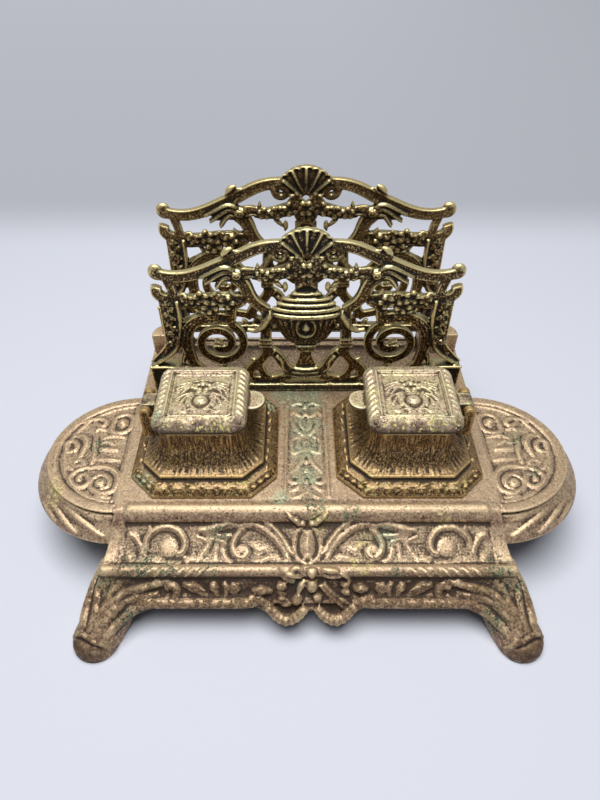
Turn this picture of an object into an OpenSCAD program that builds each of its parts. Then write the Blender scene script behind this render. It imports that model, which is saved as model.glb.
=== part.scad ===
// Cast desk inkstand with two lidded ink wells and a letter rack of two pierced panels.
// Every y below is counted back from the front edge of the deck. The whole model is then
// moved so that the origin lies under the middle of its outline, on the table.

/* [Deck] */
// Width of the rectangular deck
deck_w = 178; // [170:1:190]
// Depth of the deck, front roll to rear edge
deck_d = 124; // [122:1:130]
// Height of the deck's top above the table
deck_top = 42; // [38:1:46]
// Thickness of the cast metal
wall = 3; // [2.6:0.1:3.4]
// Radius of the rear corners of the deck
corner_r = 9; // [7:0.5:11]
// Height of the moulding along the rear edge
lip_h = 3; // [2:0.5:4]

/* [Wings] */
// Radius of the half-round plate at each side
wing_r = 37.5; // [36:0.5:38.5]
// Distance of the wings' centres behind the front edge
wing_y = 36.5; // [36:0.5:38]
// Height of the skirt under the deck
skirt_h = 13; // [11:0.5:14]
// How far the wing's skirt stands out at its foot
skirt_flare = 9; // [7:0.5:10]
// Width of the smooth rim round each wing's sunk field
rim_w = 5; // [4:0.5:6]

/* [Front and feet] */
// Radius of the roll along the front edge
roll_r = 3.5; // [3:0.1:4]
// Run of the hollow frieze, from the front edge to the lower roll
frieze_run = 21; // [19:0.5:23]
// Drop of the hollow frieze
frieze_drop = 13; // [12:0.5:14]
// Radius of the toe of each front foot
toe_r = 10; // [9:0.5:11]
// Angle by which the front feet splay outwards
splay = 23; // [18:1:28]
// Forward reach of the front feet from the corner
foot_reach = 39.5; // [37:0.5:41]

/* [Wells] */
// Half the distance between the two wells
well_x = 49; // [48:0.5:50]
// Distance of the wells' centres behind the front edge
well_y = 41.6; // [41:0.2:42]
// Width of the eight-sided base moulding
pad_w = 68.4; // [67:0.2:68.8]
// Width of the body at its foot
body_w = 56; // [54:0.5:58]
// Width of the body at its neck
neck_w = 41; // [40:0.5:43]
// Height of the well above the deck
well_h = 28; // [26:0.5:30]
// Inside width of the square well
bore_w = 34; // [33:0.5:35]

/* [Lids and hinges] */
// Width of the lid
lid_w = 44; // [43:0.5:45]
// Thickness of the lid's plain edge
lid_edge = 2.6; // [2.2:0.1:3]
// Height of the gadrooned dome on the lid
lid_dome = 4.4; // [4:0.2:5]
// Width of the sunk field on the lid
field_w = 30; // [28:0.5:31]
// Number of gadroons along each side border
gadroons = 8; // [6:1:9]
// Diameter of the hinge pin
pin_d = 2.4; // [2.2:0.1:2.6]
// Radial running clearance of the lid on its pin
pin_gap = 0.05; // [0.03:0.01:0.08]
// Distance of the pin from the lid's edge
pin_out = 4.5; // [4.2:0.1:4.8]

/* [Letter rack] */
// Distance of the front panel behind the front edge
front_y = 81.9; // [81.5:0.1:82.5]
// Distance of the rear panel behind the front edge
rear_y = 118; // [117:0.2:118.4]
// Height of the corner blocks that lift the rear panel
block_h = 12.4; // [11:0.2:14]
// Thickness of the pierced casting
panel_t = 3.4; // [3:0.1:4]
// Height of the raised scrollwork on the panel's face
relief = 1.1; // [0.8:0.1:1.4]
// Half the width of the panel at its feet
panel_x = 82; // [81:0.5:83]
// Number of ribs in the shell
shell_ribs = 9; // [7:2:11]

/* [Hidden] */
$fn = 48;
hx = deck_w / 2;
under = deck_top - wall;                 // underside of the deck plate
skirt_z = deck_top - skirt_h;            // foot of the skirts
side_flare = 3;                          // the plain skirts at the sides and back stand out less
rear_reach = 25.83;                      // reach of the short rear feet
rear_toe = 7;
front_back = [hx - 5.5, -15];            // where the front feet spring from, in plan
rear_spring = [hx - 9, deck_d - 13];
toe_y = front_back[1] - (foot_reach - toe_r) * cos(splay) - toe_r;
heel_y = rear_spring[1] + (rear_reach - 8.5) * cos(45) + rear_toe;
y_mid = (toe_y + heel_y) / 2;            // middle of the outline, back from the deck's front edge
screw_d = 3;
screw_in = 5;                            // how far a screw bites
boss_d = 10;
well_top = deck_top + well_h;
pad_h = 4.6;
pin_x = lid_w / 2 + pin_out;             // from the middle of the well
pin_z = well_top;
knuckle_r = pin_d / 2 + 1.5;
lug_t = 3.6;
knuckle_w = 8;
lug_gap = 0.3;
pot_w = bore_w - 1.4;
pot_h = 23.6;
rack_screw_x = 72;

// ---- helpers ---------------------------------------------------------------
function mix(a, b, t) = a + (b - a) * t;
// A point on a cubic curve with its four handles in h
function on_curve(h, t) = let (s = 1 - t)
    s*s*s*h[0] + 3*s*s*t*h[1] + 3*s*t*t*h[2] + t*t*t*h[3];
function along(h, t) = let (s = 1 - t)
    3*s*s*(h[1] - h[0]) + 6*s*t*(h[2] - h[1]) + 3*t*t*(h[3] - h[2]);
function left_of(v) = [-v[1], v[0]] / norm(v);

// A flat scroll: it follows the curve h and goes from width w0 to width w1, with round ends
module stroke(h, w0, w1, steps = 7) {
    side = function (k) [for (i = [0:steps]) let (t = i / steps)
        on_curve(h, t) + k * mix(w0, w1, t) / 2 * left_of(along(h, t))];
    far = side(-1);
    polygon(concat(side(1), [for (i = [steps:-1:0]) far[i]]));
    translate(h[0]) circle(d = w0 + 0.4);
    translate(h[3]) circle(d = w1 + 0.4);
}

module both_sides() { children(); mirror([1, 0, 0]) children(); }

// A square of width w with its corners cut to an eight-sided outline
module cut_square(w, cut) {
    h = w / 2;
    c = h - cut;
    polygon([[h, -c], [h, c], [c, h], [-c, h], [-h, c], [-h, -c], [-c, -h], [c, -h]]);
}

module round_square(w, r) {
    square([w, w - 2 * r], center = true);
    square([w - 2 * r, w], center = true);
    for (x = [-1, 1], y = [-1, 1]) translate([x, y] * (w / 2 - r)) circle(r = r);
}

// ---- base casting ----------------------------------------------------------
// Half profile of a skirt: outward distance against height, an ogee from top to foot
function ogee(r, flare, t) = [r + flare * (1 - cos(180 * t)) / 2, mix(deck_top - 2, skirt_z + 1, t)];

module skirt_profile(r, flare) {
    n = 6;
    polygon(concat([[r - wall, under], [r - wall, deck_top], [r, deck_top], [r, deck_top - 0.8],
                    [r - 0.7, deck_top - 1.4]],
        [for (i = [0:n]) ogee(r, flare, i / n)],
        [[r + flare - 0.4, skirt_z], [r + flare - wall, skirt_z]],
        [for (i = [n:-1:1]) ogee(r, flare, i / n) - [wall, 0]]));
}

module wing() {
    translate([hx, wing_y, 0]) rotate([0, 0, -90]) rotate_extrude(angle = 180) {
        skirt_profile(wing_r, skirt_flare);
        polygon([[0, under], [wing_r - 1.6, under], [wing_r - 1.6, deck_top],
                 [wing_r - rim_w + 0.8, deck_top], [wing_r - rim_w, deck_top - 0.8], [0, deck_top - 0.8]]);
    }
}

module deck_plate() {
    translate([0, 0, under]) linear_extrude(wall) {
        translate([-hx, 0]) square([deck_w, deck_d - corner_r]);
        translate([-hx + corner_r, 0]) square([deck_w - 2 * corner_r, deck_d]);
        for (s = [-1, 1]) translate([s * (hx - corner_r), deck_d - corner_r]) circle(r = corner_r);
    }
}

// Side and back skirts, plain where the letter rack hides them
module rear_skirts() {
    both_sides() {
        side_y = wing_y + wing_r - 4;
        translate([0, deck_d - corner_r, 0]) rotate([90, 0, 0])
            linear_extrude(deck_d - corner_r - side_y) skirt_profile(hx, side_flare);
        translate([hx - corner_r, deck_d - corner_r, 0]) rotate_extrude(angle = 90)
            skirt_profile(corner_r, side_flare);
    }
    translate([-hx + corner_r, 0, 0]) rotate([90, 0, 90])
        linear_extrude(deck_w - 2 * corner_r) skirt_profile(deck_d, side_flare);
}

// Front section, as y against z: roll, hollow frieze, lower roll, apron and rib
function frieze_pt(t) = [-3 - (frieze_run - 5) * t, deck_top - 6 - (frieze_drop - 5) * sin(90 * t)];
low_roll = [-frieze_run, deck_top - 3.2 - frieze_drop];
apron_foot = low_roll + [-11, -11.8];
function apron_pt(t) = low_roll + [-2.2 - 8.4 * t + 1.2 * sin(180 * t), -1.6 - 10.2 * t + 0.8 * sin(180 * t)];

module front_profile() {
    n = 7;
    back = [wall * 0.75, -wall * 0.75];
    polygon(concat([[3, deck_top]], [for (i = [0:n]) frieze_pt(i / n)],
        [for (i = [0:5]) apron_pt(i / 5)],
        [for (i = [5:-1:0]) apron_pt(i / 5) + back],
        [for (i = [n:-1:0]) frieze_pt(i / n) + back], [[3, under]]));
    translate([0.2, deck_top - roll_r]) circle(r = roll_r);
    translate(low_roll) circle(r = 2.9);
    translate(apron_foot + [0.6, 1.4]) circle(r = 1.7);
}

// Plan of the front section, wider at the feet than at the deck
module front_plan() {
    spread = 11;
    polygon([[-hx + 2, 6], [hx - 2, 6], [hx - 2 + spread * 0.5, -frieze_run + 2],
             [hx - 2 + spread, apron_foot[0] - 3], [-hx + 2 - spread, apron_foot[0] - 3],
             [-hx + 2 - spread * 0.5, -frieze_run + 2]]);
}

module front_section() {
    intersection() {
        translate([-hx - 20, 0, 0]) rotate([90, 0, 90]) linear_extrude(deck_w + 40) front_profile();
        linear_extrude(deck_top + 5) front_plan();
    }
}

// The two ribbon loops and the knot under the middle of the apron: rings with ridges across them
module ribbon() {
    slope = atan2(10.2, 8.4);
    translate([0, apron_foot[0] + 0.4, apron_foot[1] - 0.2]) rotate([slope, 0, 0]) {
        for (s = [-1, 1]) translate([s * 9, -1.4, 0.7]) {
            rotate_extrude() translate([5.9, 0]) circle(r = 1.8, $fn = 24);
            translate([0, 0, -2.4]) cylinder(r = 7, h = 2.2);
            for (k = [0:6]) rotate([0, 0, 180 + 30 * k])
                translate([5.9, 0, 0]) rotate([90, 0, 0]) cylinder(r = 2.2, h = 1.3, center = true);
        }
        translate([0, 4, -2]) cylinder(r = 2.6, h = 4);
        translate([0, 9, -2]) cylinder(r = 1.8, h = 3.6);
        translate([0, -1, -2]) cylinder(r = 2, h = 4);
    }
}

// ---- relief ----------------------------------------------------------------
// Ornament is drawn in plan, as (x, t) down the slope of a moulding, and cut out of a thin
// band that follows that moulding
function on_frieze(p) = [p[0] * hx / 89, frieze_pt(p[1])[0]];
function on_apron(p) = [p[0] * hx / 89, apron_pt(p[1])[0]];
function on_wing(p) = [hx + (p[0] - 89) * wing_r / 37.5, wing_y + (p[1] - 36.5) * wing_r / 37.5];

module band(line, lift) {
    n = len(line);
    translate([-hx - 6, 0, 0]) rotate([90, 0, 90]) linear_extrude(deck_w + 12)
        polygon(concat([for (q = line) q + lift], [for (i = [n - 1:-1:0]) line[i] + [0.5, -1]]));
}

module ring(c, r, w) {
    translate(c) difference() { circle(r = r); circle(r = r - w); }
}

module frieze_scrolls() {
    ring(on_frieze([64.6, 0.53]), 8.4, 2.4);
    translate(on_frieze([63.3, 0.55])) circle(r = 3.9);
    ring(on_frieze([30.4, 0.56]), 4.7, 2.3);
    translate(on_frieze([30.2, 0.6])) circle(r = 1.5);
    for (h = [[[33, 0.05], [20, -0.03], [12, 0.3], [8.6, 0.86]],
              [[74.6, 0.78], [75.6, 0.5], [79, 0.3], [82, 0.25]],
              [[41.5, 0.36], [41.5, 0.5], [41.8, 0.7], [42, 0.86]],
              [[44, 0.38], [45.6, 0.6], [48, 0.74], [50.4, 0.88]],
              [[21.4, 0.88], [19, 0.8], [16, 0.78], [13.2, 0.8]]])
        stroke([for (p = h) on_frieze(p)], 2.5, 1.6, 5);
    stroke([for (p = [[50.4, 0.2], [44, 0.14], [38, 0.06], [31, 0.08]]) on_frieze(p)], 2.2, 3.2, 5);
}

module frieze_relief() {
    line = [for (i = [0:5]) frieze_pt(i / 5)];
    both_sides() intersection() {
        band(line, [-0.6, 1.1]);
        translate([0, 0, skirt_z - 8]) linear_extrude(30) frieze_scrolls();
    }
    c = on_frieze([0, 0.5]);
    intersection() {
        band(line, [-1, 1.8]);
        translate([0, 0, skirt_z - 8]) linear_extrude(30)
            polygon([for (a = [0:22.5:337.5]) c + [4.8 * cos(a), 0.4 * (frieze_run - 5) * sin(a)]]);
    }
}

module apron_leaves() {
    translate(on_apron([32.9, 0.57])) circle(r = 2.5);
    for (h = [[[56, 0.36], [53, 0.4], [49, 0.55], [45.2, 0.73]],
              [[42.8, 0.3], [42, 0.45], [41, 0.6], [40.2, 0.71]],
              [[64, 0.53], [61, 0.36], [58.6, 0.45], [58.8, 0.75]],
              [[25, 0.62], [22, 0.52], [19, 0.52], [15.8, 0.62]],
              [[71, 0.42], [69, 0.34], [67, 0.34], [65.4, 0.42]]])
        stroke([for (p = h) on_apron(p)], 2.4, 2.8, 5);
}

module apron_relief() {
    both_sides() intersection() {
        band([for (i = [0:5]) apron_pt(i / 5)], [-1.2, 0.9]);
        translate([0, 0, 5]) linear_extrude(30) apron_leaves();
    }
}

module wing_scrolls() {
    ring(on_wing([98, 16.8]), 7.6, 2.3);
    translate(on_wing([98.2, 16.5])) circle(r = 2.4);
    ring(on_wing([108.8, 19.8]), 5, 2);
    ring(on_wing([95.8, 55]), 6.4, 2.1);
    translate(on_wing([95.6, 55])) circle(r = 2.5);
    for (h = [[[117.5, 46.6], [111, 47], [110.6, 38], [113.2, 29.4]],
              [[116.2, 55.2], [112, 60], [104, 58.6], [105.2, 53.8]],
              [[107.4, 47.6], [107, 42], [105.2, 36], [105.6, 27.4]],
              [[103.4, 37.2], [100, 37], [97, 37], [94.4, 37]],
              [[103.6, 30.8], [100, 30.6], [96, 30.6], [92.6, 30.4]],
              [[103.4, 45.4], [100, 46.4], [96, 46.2], [92.8, 45.4]],
              [[121.4, 36.4], [121, 41], [117, 43], [116, 37.4]]])
        stroke([for (p = h) on_wing(p)], 2.3, 1.7, 5);
}

// Leaves on the skirt of a wing: each is the ogee a little thicker over a few degrees
module skirt_leaf() {
    n = 5;
    rotate_extrude(angle = 5.6) polygon(concat(
        [for (i = [0:n]) ogee(wing_r, skirt_flare, mix(0.16, 0.78, i / n))
            + [0.7 * sin(25 + 130 * i / n), 0.5]],
        [for (i = [n:-1:0]) ogee(wing_r, skirt_flare, mix(0.16, 0.78, i / n)) - [0.8, 0.6]]));
}

module wing_relief() {
    both_sides() {
        translate([0, 0, deck_top - 1.3]) linear_extrude(1.4) wing_scrolls();
        for (k = [0:14]) translate([hx, wing_y, 0]) rotate([0, 0, -82 + 11.4 * k]) skirt_leaf();
    }
}

// The flower column in the middle of the deck
module deck_relief() {
    translate([0, 0, deck_top - 0.5]) {
        for (q = [[40.4, 2.4], [23.4, 1.5], [60.5, 1.7], [67, 1.6]])
            translate([0, q[0], 0]) cylinder(r = q[1], h = 1.4);
        both_sides() linear_extrude(1.2)
            for (h = [[[2.2, 36], [7, 33], [8.4, 42], [3, 45.6]],
                      [[1, 46.2], [5, 48.6], [7.4, 54], [5, 56.4]],
                      [[1, 33.4], [3, 27], [6, 25], [8, 21]],
                      [[1.2, 20.2], [3, 14], [6, 11.4], [7.8, 11]],
                      [[1, 58.6], [4, 59.6], [7, 61], [7.6, 63.4]]])
                stroke(h, 1.7, 1.2, 5);
    }
}

// Side view of a foot, as reach against height
function foot_top(t) = [mix(-4, foot_reach - 6, t), 10 + 18.5 * pow(1 - t, 1.5)];
function foot_low(t) = [mix(-2, foot_reach - 15, t), 17 * pow(1 - t, 1.2)];

module foot_side(lift) {
    n = 7;
    translate([0, toe_r + 6, 0]) rotate([90, 0, 0]) linear_extrude(2 * toe_r + 12)
        polygon(concat([for (i = [0:n]) foot_top(i / n) + [0, lift]],
            [[foot_reach - 4, 6], [foot_reach - 6, 0]],
            [for (i = [n:-1:0]) foot_low(i / n)]));
}

// The leg is cut from its side view and its plan; ribs of acanthus run down to a domed toe
module front_foot() {
    toe_x = foot_reach - toe_r;
    translate(front_back) rotate([0, 0, -90 + splay]) {
        intersection() {
            foot_side(0);
            linear_extrude(40)
                polygon([[-6, -13], [-6, 11], [10, 11.5], [toe_x + 3, toe_r - 0.9],
                         [toe_x + 3, 0.9 - toe_r], [10, -12.5]]);
        }
        intersection() {
            foot_side(1.2);
            linear_extrude(40) {
                stroke([[-5, 9], [6, 9], [14, 7], [24, 3.6]], 3.6, 1.6, 5);
                stroke([[-5, 3], [6, 2.4], [14, 1.4], [25, 0]], 3.2, 1.4, 5);
                stroke([[0, -10], [8, -5], [14, -4], [25, -3]], 3.6, 1.6, 5);
            }
        }
        translate([toe_x, 0, 0]) rotate_extrude()
            polygon([[0, 0], [toe_r - 0.5, 0], [toe_r, 1.4], [toe_r - 0.3, 4], [toe_r - 1.5, 6.8],
                     [toe_r - 3.4, 8.6], [toe_r - 6, 9.5], [0, 9.8]]);
    }
}

// The rear feet are short and plain
module rear_foot_leg() {
    n = 6;
    reach = rear_reach;
    outer = function (t) [mix(0, reach - 5, t * t), mix(under + 1, 7, t)];
    translate(rear_spring) rotate([0, 0, 45]) intersection() {
        translate([0, 9, 0]) rotate([90, 0, 0]) linear_extrude(18) intersection() {
            union() {
                polygon(concat([for (i = [0:n]) outer(i / n)], [[reach - 5, 0], [reach - 12, 0]],
                    [for (i = [n:-1:0]) outer(i / n) - [9, 0]]));
                translate([reach - 6.5, 5]) circle(r = 5);
            }
            translate([-20, 0]) square([60, 60]);
        }
        linear_extrude(60) {
            translate([reach - 8.5, 0]) circle(r = rear_toe);
            translate([-20, -rear_toe]) square([reach + 11.5, 2 * rear_toe]);
        }
    }
}

// Corner blocks behind the wells, on which the rear panel stands
module corner_block() {
    translate([0, 0, deck_top - 0.5]) linear_extrude(block_h + 0.5) intersection() {
        translate([panel_x - 16, rear_y - 5.5]) square([23, deck_d - rear_y + 4.5]);
        union() {
            translate([hx - 9, deck_d - 9]) circle(r = 8);
            translate([panel_x - 16, rear_y - 8]) square([hx - 9 - panel_x + 16, deck_d - rear_y + 7]);
            translate([panel_x - 16, rear_y - 8]) square([22, 7]);
        }
    }
}

module rear_moulding() {
    translate([0, deck_d - 8, deck_top - 0.5]) {
        translate([-panel_x + 10, 0, 0]) cube([2 * panel_x - 20, 7, lip_h - 0.3]);
        for (m = [[5.4, lip_h - 0.6, 1.6], [0.6, 0.6, 1]])
            translate([0, m[0], m[1]]) rotate([0, 90, 0])
                cylinder(r = m[2], h = 2 * panel_x - 20, center = true);
    }
}

module base_casting() {
    color([0.62, 0.5, 0.36]) difference() {
        union() {
            deck_plate();
            both_sides() {
                wing();
                front_foot();
                rear_foot_leg();
                corner_block();
                translate([rack_screw_x, front_y, under - 2]) cylinder(d = boss_d, h = 3);
                translate([rack_screw_x, rear_y, under - 2]) cylinder(d = boss_d, h = 3);
                for (s = [-1, 1]) translate([well_x, well_y + s * 25, under - 2]) cylinder(d = boss_d, h = 3);
                translate([10.2, 5, deck_top - 0.5]) cube([0.9, front_y - 12, 1.1]);
            }
            rear_skirts();
            front_section();
            ribbon();
            rear_moulding();
            frieze_relief();
            apron_relief();
            wing_relief();
            deck_relief();
        }
        both_sides() {
            for (y = [front_y, rear_y]) translate([rack_screw_x, y, 0]) cylinder(d = screw_d + 0.4, h = 80);
            for (s = [-1, 1]) translate([well_x, well_y + s * 25, 0]) cylinder(d = screw_d + 0.4, h = 80);
        }
    }
}

// ---- wells -----------------------------------------------------------------
// Half section of the coved body: neck and foot half-widths against height above the deck
module cove_section(neck, foot) {
    n = 7;
    z0 = pad_h + 3.2;
    rise = well_h * 0.42;
    pts = [for (i = [0:n]) let (t = 90 * i / n)
        [neck + (foot - neck) * (1 - sin(t)), z0 + rise * (1 - cos(t))]];
    lip = [[neck, well_h - 4], [neck + 0.9, well_h - 2.4], [neck + 0.9, well_h]];
    right = concat([[foot, pad_h - 1], [foot, z0]], pts, lip);
    k = len(right);
    polygon(concat(right, [for (i = [k - 1:-1:0]) [-right[i][0], right[i][1]]]));
}

module cove_prism(neck, foot, turn) {
    rotate([0, 0, turn]) translate([0, 60, 0]) rotate([90, 0, 0])
        linear_extrude(120) cove_section(neck, foot);
}

module well_body() {
    neck = neck_w / 2;
    foot = body_w / 2;
    intersection() {
        cove_prism(neck, foot, 0);
        cove_prism(neck, foot, 90);
        cove_prism(neck * 1.22, foot * 1.19, 45);
        cove_prism(neck * 1.22, foot * 1.19, 135);
    }
    linear_extrude(pad_h - 1.6) cut_square(pad_w, 12);
    translate([0, 0, pad_h - 1.6]) linear_extrude(1.6) cut_square(pad_w - 2.4, 11.4);
}

// Two lugs on the outer side carry the pin; each runs down the body as a web
module hinge_lugs() {
    for (s = [-1, 1]) translate([0, s * (knuckle_w / 2 + lug_gap + lug_t / 2) + lug_t / 2, 0])
        rotate([90, 0, 0]) linear_extrude(lug_t) {
            translate([pin_x, well_h]) circle(r = knuckle_r);
            translate([neck_w / 2 - 1, well_h - 15]) square([pin_x + knuckle_r - neck_w / 2 + 1, 13]);
            translate([pin_x, well_h - 3]) square([knuckle_r, 3]);
            translate([lid_w / 2 + 1, well_h - 3]) square([pin_x - lid_w / 2, 2.4]);
        }
}

// Drawn with its hinge towards +x
module well_housing() {
    difference() {
        union() { well_body(); hinge_lugs(); }
        translate([0, 0, 2]) linear_extrude(well_h) round_square(bore_w, 5);
        translate([pin_x, -20, well_h]) rotate([-90, 0, 0]) cylinder(d = pin_d, h = 40);
        for (s = [-1, 1]) translate([0, s * 25, -1]) cylinder(d = screw_d, h = screw_in + 1);
    }
}

module at_well(side) {
    translate([side * well_x, well_y, deck_top]) mirror([side < 0 ? 1 : 0, 0, 0]) children();
}

module ink_pot() {
    difference() {
        union() {
            linear_extrude(pot_h - 3) round_square(pot_w, 4.6);
            translate([0, 0, pot_h - 3.5]) cylinder(d = 29, h = 3.5);
        }
        translate([0, 0, 4]) cylinder(d = 25, h = pot_h);
    }
}

// ---- lids ------------------------------------------------------------------
// Cushion section of the lid: an arc of the given rise across the width
module dome_section(w, rise) {
    n = 8;
    polygon(concat([[-w / 2, -1]], [for (i = [0:n]) let (t = i / n)
        [mix(-w / 2, w / 2, t), rise * pow(sin(180 * t), 0.55)]], [[w / 2, -1]]));
}

module lid_dome_solid() {
    intersection() {
        translate([0, lid_w, 0]) rotate([90, 0, 0])
            linear_extrude(2 * lid_w) dome_section(lid_w - 0.6, lid_dome);
        rotate([0, 0, 90]) translate([0, lid_w, 0]) rotate([90, 0, 0])
            linear_extrude(2 * lid_w) dome_section(lid_w - 0.6, lid_dome);
        translate([0, 0, -1]) linear_extrude(lid_dome + 2) round_square(lid_w - 0.6, 6);
    }
}

module lid() {
    border = (lid_w - field_w) / 4;
    pitch = (field_w - 2) / gadroons;
    difference() {
        union() {
            linear_extrude(lid_edge) round_square(lid_w, 6.5);
            translate([0, 0, lid_edge]) lid_dome_solid();
            // locating rim that drops into the well
            translate([0, 0, -1.6]) linear_extrude(2) difference() {
                round_square(bore_w - 1.6, 4.4);
                round_square(bore_w - 6, 3);
            }
            // slanted gadroons beside the field
            for (s = [-1, 1], i = [0:gadroons - 1])
                translate([s * (lid_w / 2 - border), -field_w / 2 + 1 + pitch * (i + 0.5),
                           lid_edge + lid_dome - 2.4]) rotate([90, 0, 62 * s])
                    cylinder(d = pitch * 0.82, h = border * 1.4, center = true);
            // thumb tab on the inner side
            linear_extrude(lid_edge) {
                translate([-lid_w / 2 - 1.2, 0]) circle(r = 6.2);
            }
            // knuckle and its tongue on the outer side
            translate([pin_x, knuckle_w / 2, 0]) rotate([90, 0, 0]) cylinder(r = knuckle_r, h = knuckle_w);
            translate([lid_w / 2 - 1, -knuckle_w / 2, 0]) cube([pin_out + 1, knuckle_w, lid_edge]);
        }
        // sunk field
        translate([0, 0, lid_edge + lid_dome - 2.2]) linear_extrude(5) square(field_w, center = true);
        translate([pin_x, -20, 0]) rotate([-90, 0, 0]) cylinder(d = pin_d + 2 * pin_gap, h = 40);
    }
    // flower in the field
    translate([0, 0, lid_edge + lid_dome - 3]) {
        translate([0, -4.6, 0]) cylinder(d1 = 9, d2 = 7, h = 2.2);
        for (a = [0:4]) rotate([0, 0, 0]) translate([5.2 * cos(30 * a + 30), 2.4 + 3 * sin(30 * a + 30), 0])
            cylinder(d = 3, h = 2);
        for (s = [-1, 1]) translate([s * 8.6, 3.2, 0]) cylinder(d = 5, h = 1.6);
    }
}

// ---- letter rack -----------------------------------------------------------
function spiral_pt(c, r0, r1, a0, turn, t) = let (a = a0 + turn * t, r = r1 + (r0 - r1) * pow(1 - t, 0.75))
    c + r * [cos(a), sin(a)];

module spiral(c, r0, r1, a0, turn, w0, w1, steps = 30) {
    side = function (k) [for (i = [0:steps]) let (t = i / steps, w = k * mix(w0, w1, t) / 2)
        spiral_pt(c, r0 + w, r1 + w, a0, turn, t)];
    far = side(-1);
    polygon(concat(side(1), [for (i = [steps:-1:0]) far[i]]));
    translate(spiral_pt(c, r0, r1, a0, turn, 1)) circle(d = w1 * 1.6);
}

// Fan of the shell, its edge lobed once for each rib
module shell_fan(r) {
    polygon(concat([[-9, 80], [9, 80]], [for (a = [36:4:144])
        [0, 80] + (r + 0.8 * abs(sin(90 * shell_ribs * (a - 36) / 54))) * [cos(a), sin(a)]]));
}

module urn_outline(grow = 0) {
    half = [[9, 5], [9, 15], [8.4, 19], [5.6, 22], [3.2, 26], [4, 29.4], [9.8, 34.5], [13.6, 42],
            [15.6, 49], [17, 50.4], [16.6, 54], [12.4, 60.4], [5, 64], [2.6, 66], [2.6, 70]];
    pts = [for (p = half) [p[0] + grow, p[1]]];
    polygon(concat(pts, [for (i = [len(pts) - 1:-1:0]) [-pts[i][0], pts[i][1]]]));
}

// Right half of the openwork, measured from the panel's foot
module openwork_half() {
    // top rail with its curled tip, knob and volute
    stroke([[70, 74.6], [58, 68.8], [50, 74], [38, 78.8]], 5, 6.4);
    stroke([[38, 78.8], [29, 82.6], [24, 88.6], [12, 87.6]], 6.4, 7.4);
    translate([37.3, 84]) circle(r = 2.2);
    translate([12.4, 84.4]) circle(r = 5.4);
    // curl under the tip, its tie to the rail and the flowered bar
    stroke([[71, 66.6], [74, 60.4], [66, 58], [60, 57.6]], 4.8, 6);
    stroke([[66, 70], [64.6, 66], [64, 63], [64.4, 60]], 3.4, 4);
    stroke([[62, 58], [52, 56], [44, 62.4], [29, 60]], 6.4, 6);
    for (f = [[50.4, 60, 4.4], [49, 55.6, 4.2], [38.4, 57.6, 4.4], [57, 59, 3.6]])
        translate([f[0], f[1]]) circle(r = f[2]);
    // bird's head and neck, with its beak in the garland
    translate([33, 73.6]) circle(r = 5);
    polygon([[30, 77.6], [21.6, 73.8], [30, 70]]);
    stroke([[46.6, 70.6], [42, 71.4], [40, 73], [34, 73]], 2.6, 8);
    stroke([[33, 71.6], [25.4, 66], [32.6, 60], [18.6, 52.6]], 7, 4.4);
    // garland under the shell
    for (f = [[18.6, 72.4, 3.4], [13.2, 72, 4], [7, 72.4, 4.6], [4.6, 78.4, 4.4]])
        translate([f[0], f[1]]) circle(r = f[2]);
    // upright, from the bar down to the foot
    polygon([[71.4, 60], [71.9, 48], [71.8, 40], [71.2, 33.4], [75.4, 26.4], [81.9, 19.4], [81.9, 16],
             [77, 17.4], [70.6, 23], [65.4, 29.8], [62.4, 37], [61.2, 46], [61.4, 58]]);
    // leaf round the spiral, the spiral and its ball
    stroke([[38, 47.6], [62, 54.6], [67, 36], [57.6, 17]], 5.2, 4.6, 11);
    stroke([[46, 51], [53, 51.4], [58, 46], [60.4, 40]], 4, 5);
    stroke([[33, 60], [39, 53], [36, 50], [37.6, 47.6]], 6, 5);
    spiral([44.2, 32.6], 13.4, 2.6, 116, 560, 3.6, 2.4);
    translate([44, 18.4]) circle(r = 2.8);
    // column, its collar and the scrolls at its foot
    stroke([[20.6, 30], [20.2, 38], [20.2, 46], [19.4, 53]], 5.4, 5);
    translate([16.9, 30.4]) square([7, 5.6]);
    stroke([[20.6, 31], [18, 20], [32, 19], [30, 9]], 4.4, 5.4);
    stroke([[19.6, 27], [13, 25], [14, 18], [7, 15]], 4, 4);
    stroke([[29, 8], [21, 4.4], [16, 8], [8, 12]], 6, 5);
    // low scrolls that stand on the rail
    stroke([[57.6, 18], [55, 12], [48, 12], [44, 4]], 4.6, 4);
    stroke([[44, 17], [40, 10], [34, 14], [30, 9]], 4, 4);
    stroke([[58, 17], [62, 14], [66, 14], [68, 17.6]], 4, 4);
}

// Raised ridges on the face of the right half
module ridges_half() {
    stroke([[70, 75], [58, 69.2], [50, 74.4], [38, 79.2]], 2, 2.4);
    stroke([[38, 79.2], [29, 83], [24, 89], [12, 88]], 2.4, 2.8);
    difference() {
        translate([12.4, 84.4]) circle(r = 4.6);
        translate([12.4, 84.4]) circle(r = 2.9);
    }
    translate([33.4, 74]) circle(r = 1.4);
    for (f = [[50.4, 60.4, 3], [38.4, 57.6, 2.8], [18.6, 72.4, 2], [13.2, 72, 2.4], [7, 72.4, 2.8]])
        translate([f[0], f[1]]) circle(r = f[2]);
    stroke([[63.6, 54], [63.4, 40], [65, 29], [79.6, 18.8]], 2, 2.4);
    stroke([[44, 50], [60, 50], [64.4, 36], [58, 20]], 1.6, 1.4);
    spiral([44.2, 32.6], 13.4, 2.6, 116, 560, 1.4, 1);
    for (z = [31.2, 33.4]) translate([16.4, z]) square([8, 1.2]);
    stroke([[20.4, 38], [20.4, 42], [20.3, 46], [19.6, 51]], 1.6, 1.6);
}

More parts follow.
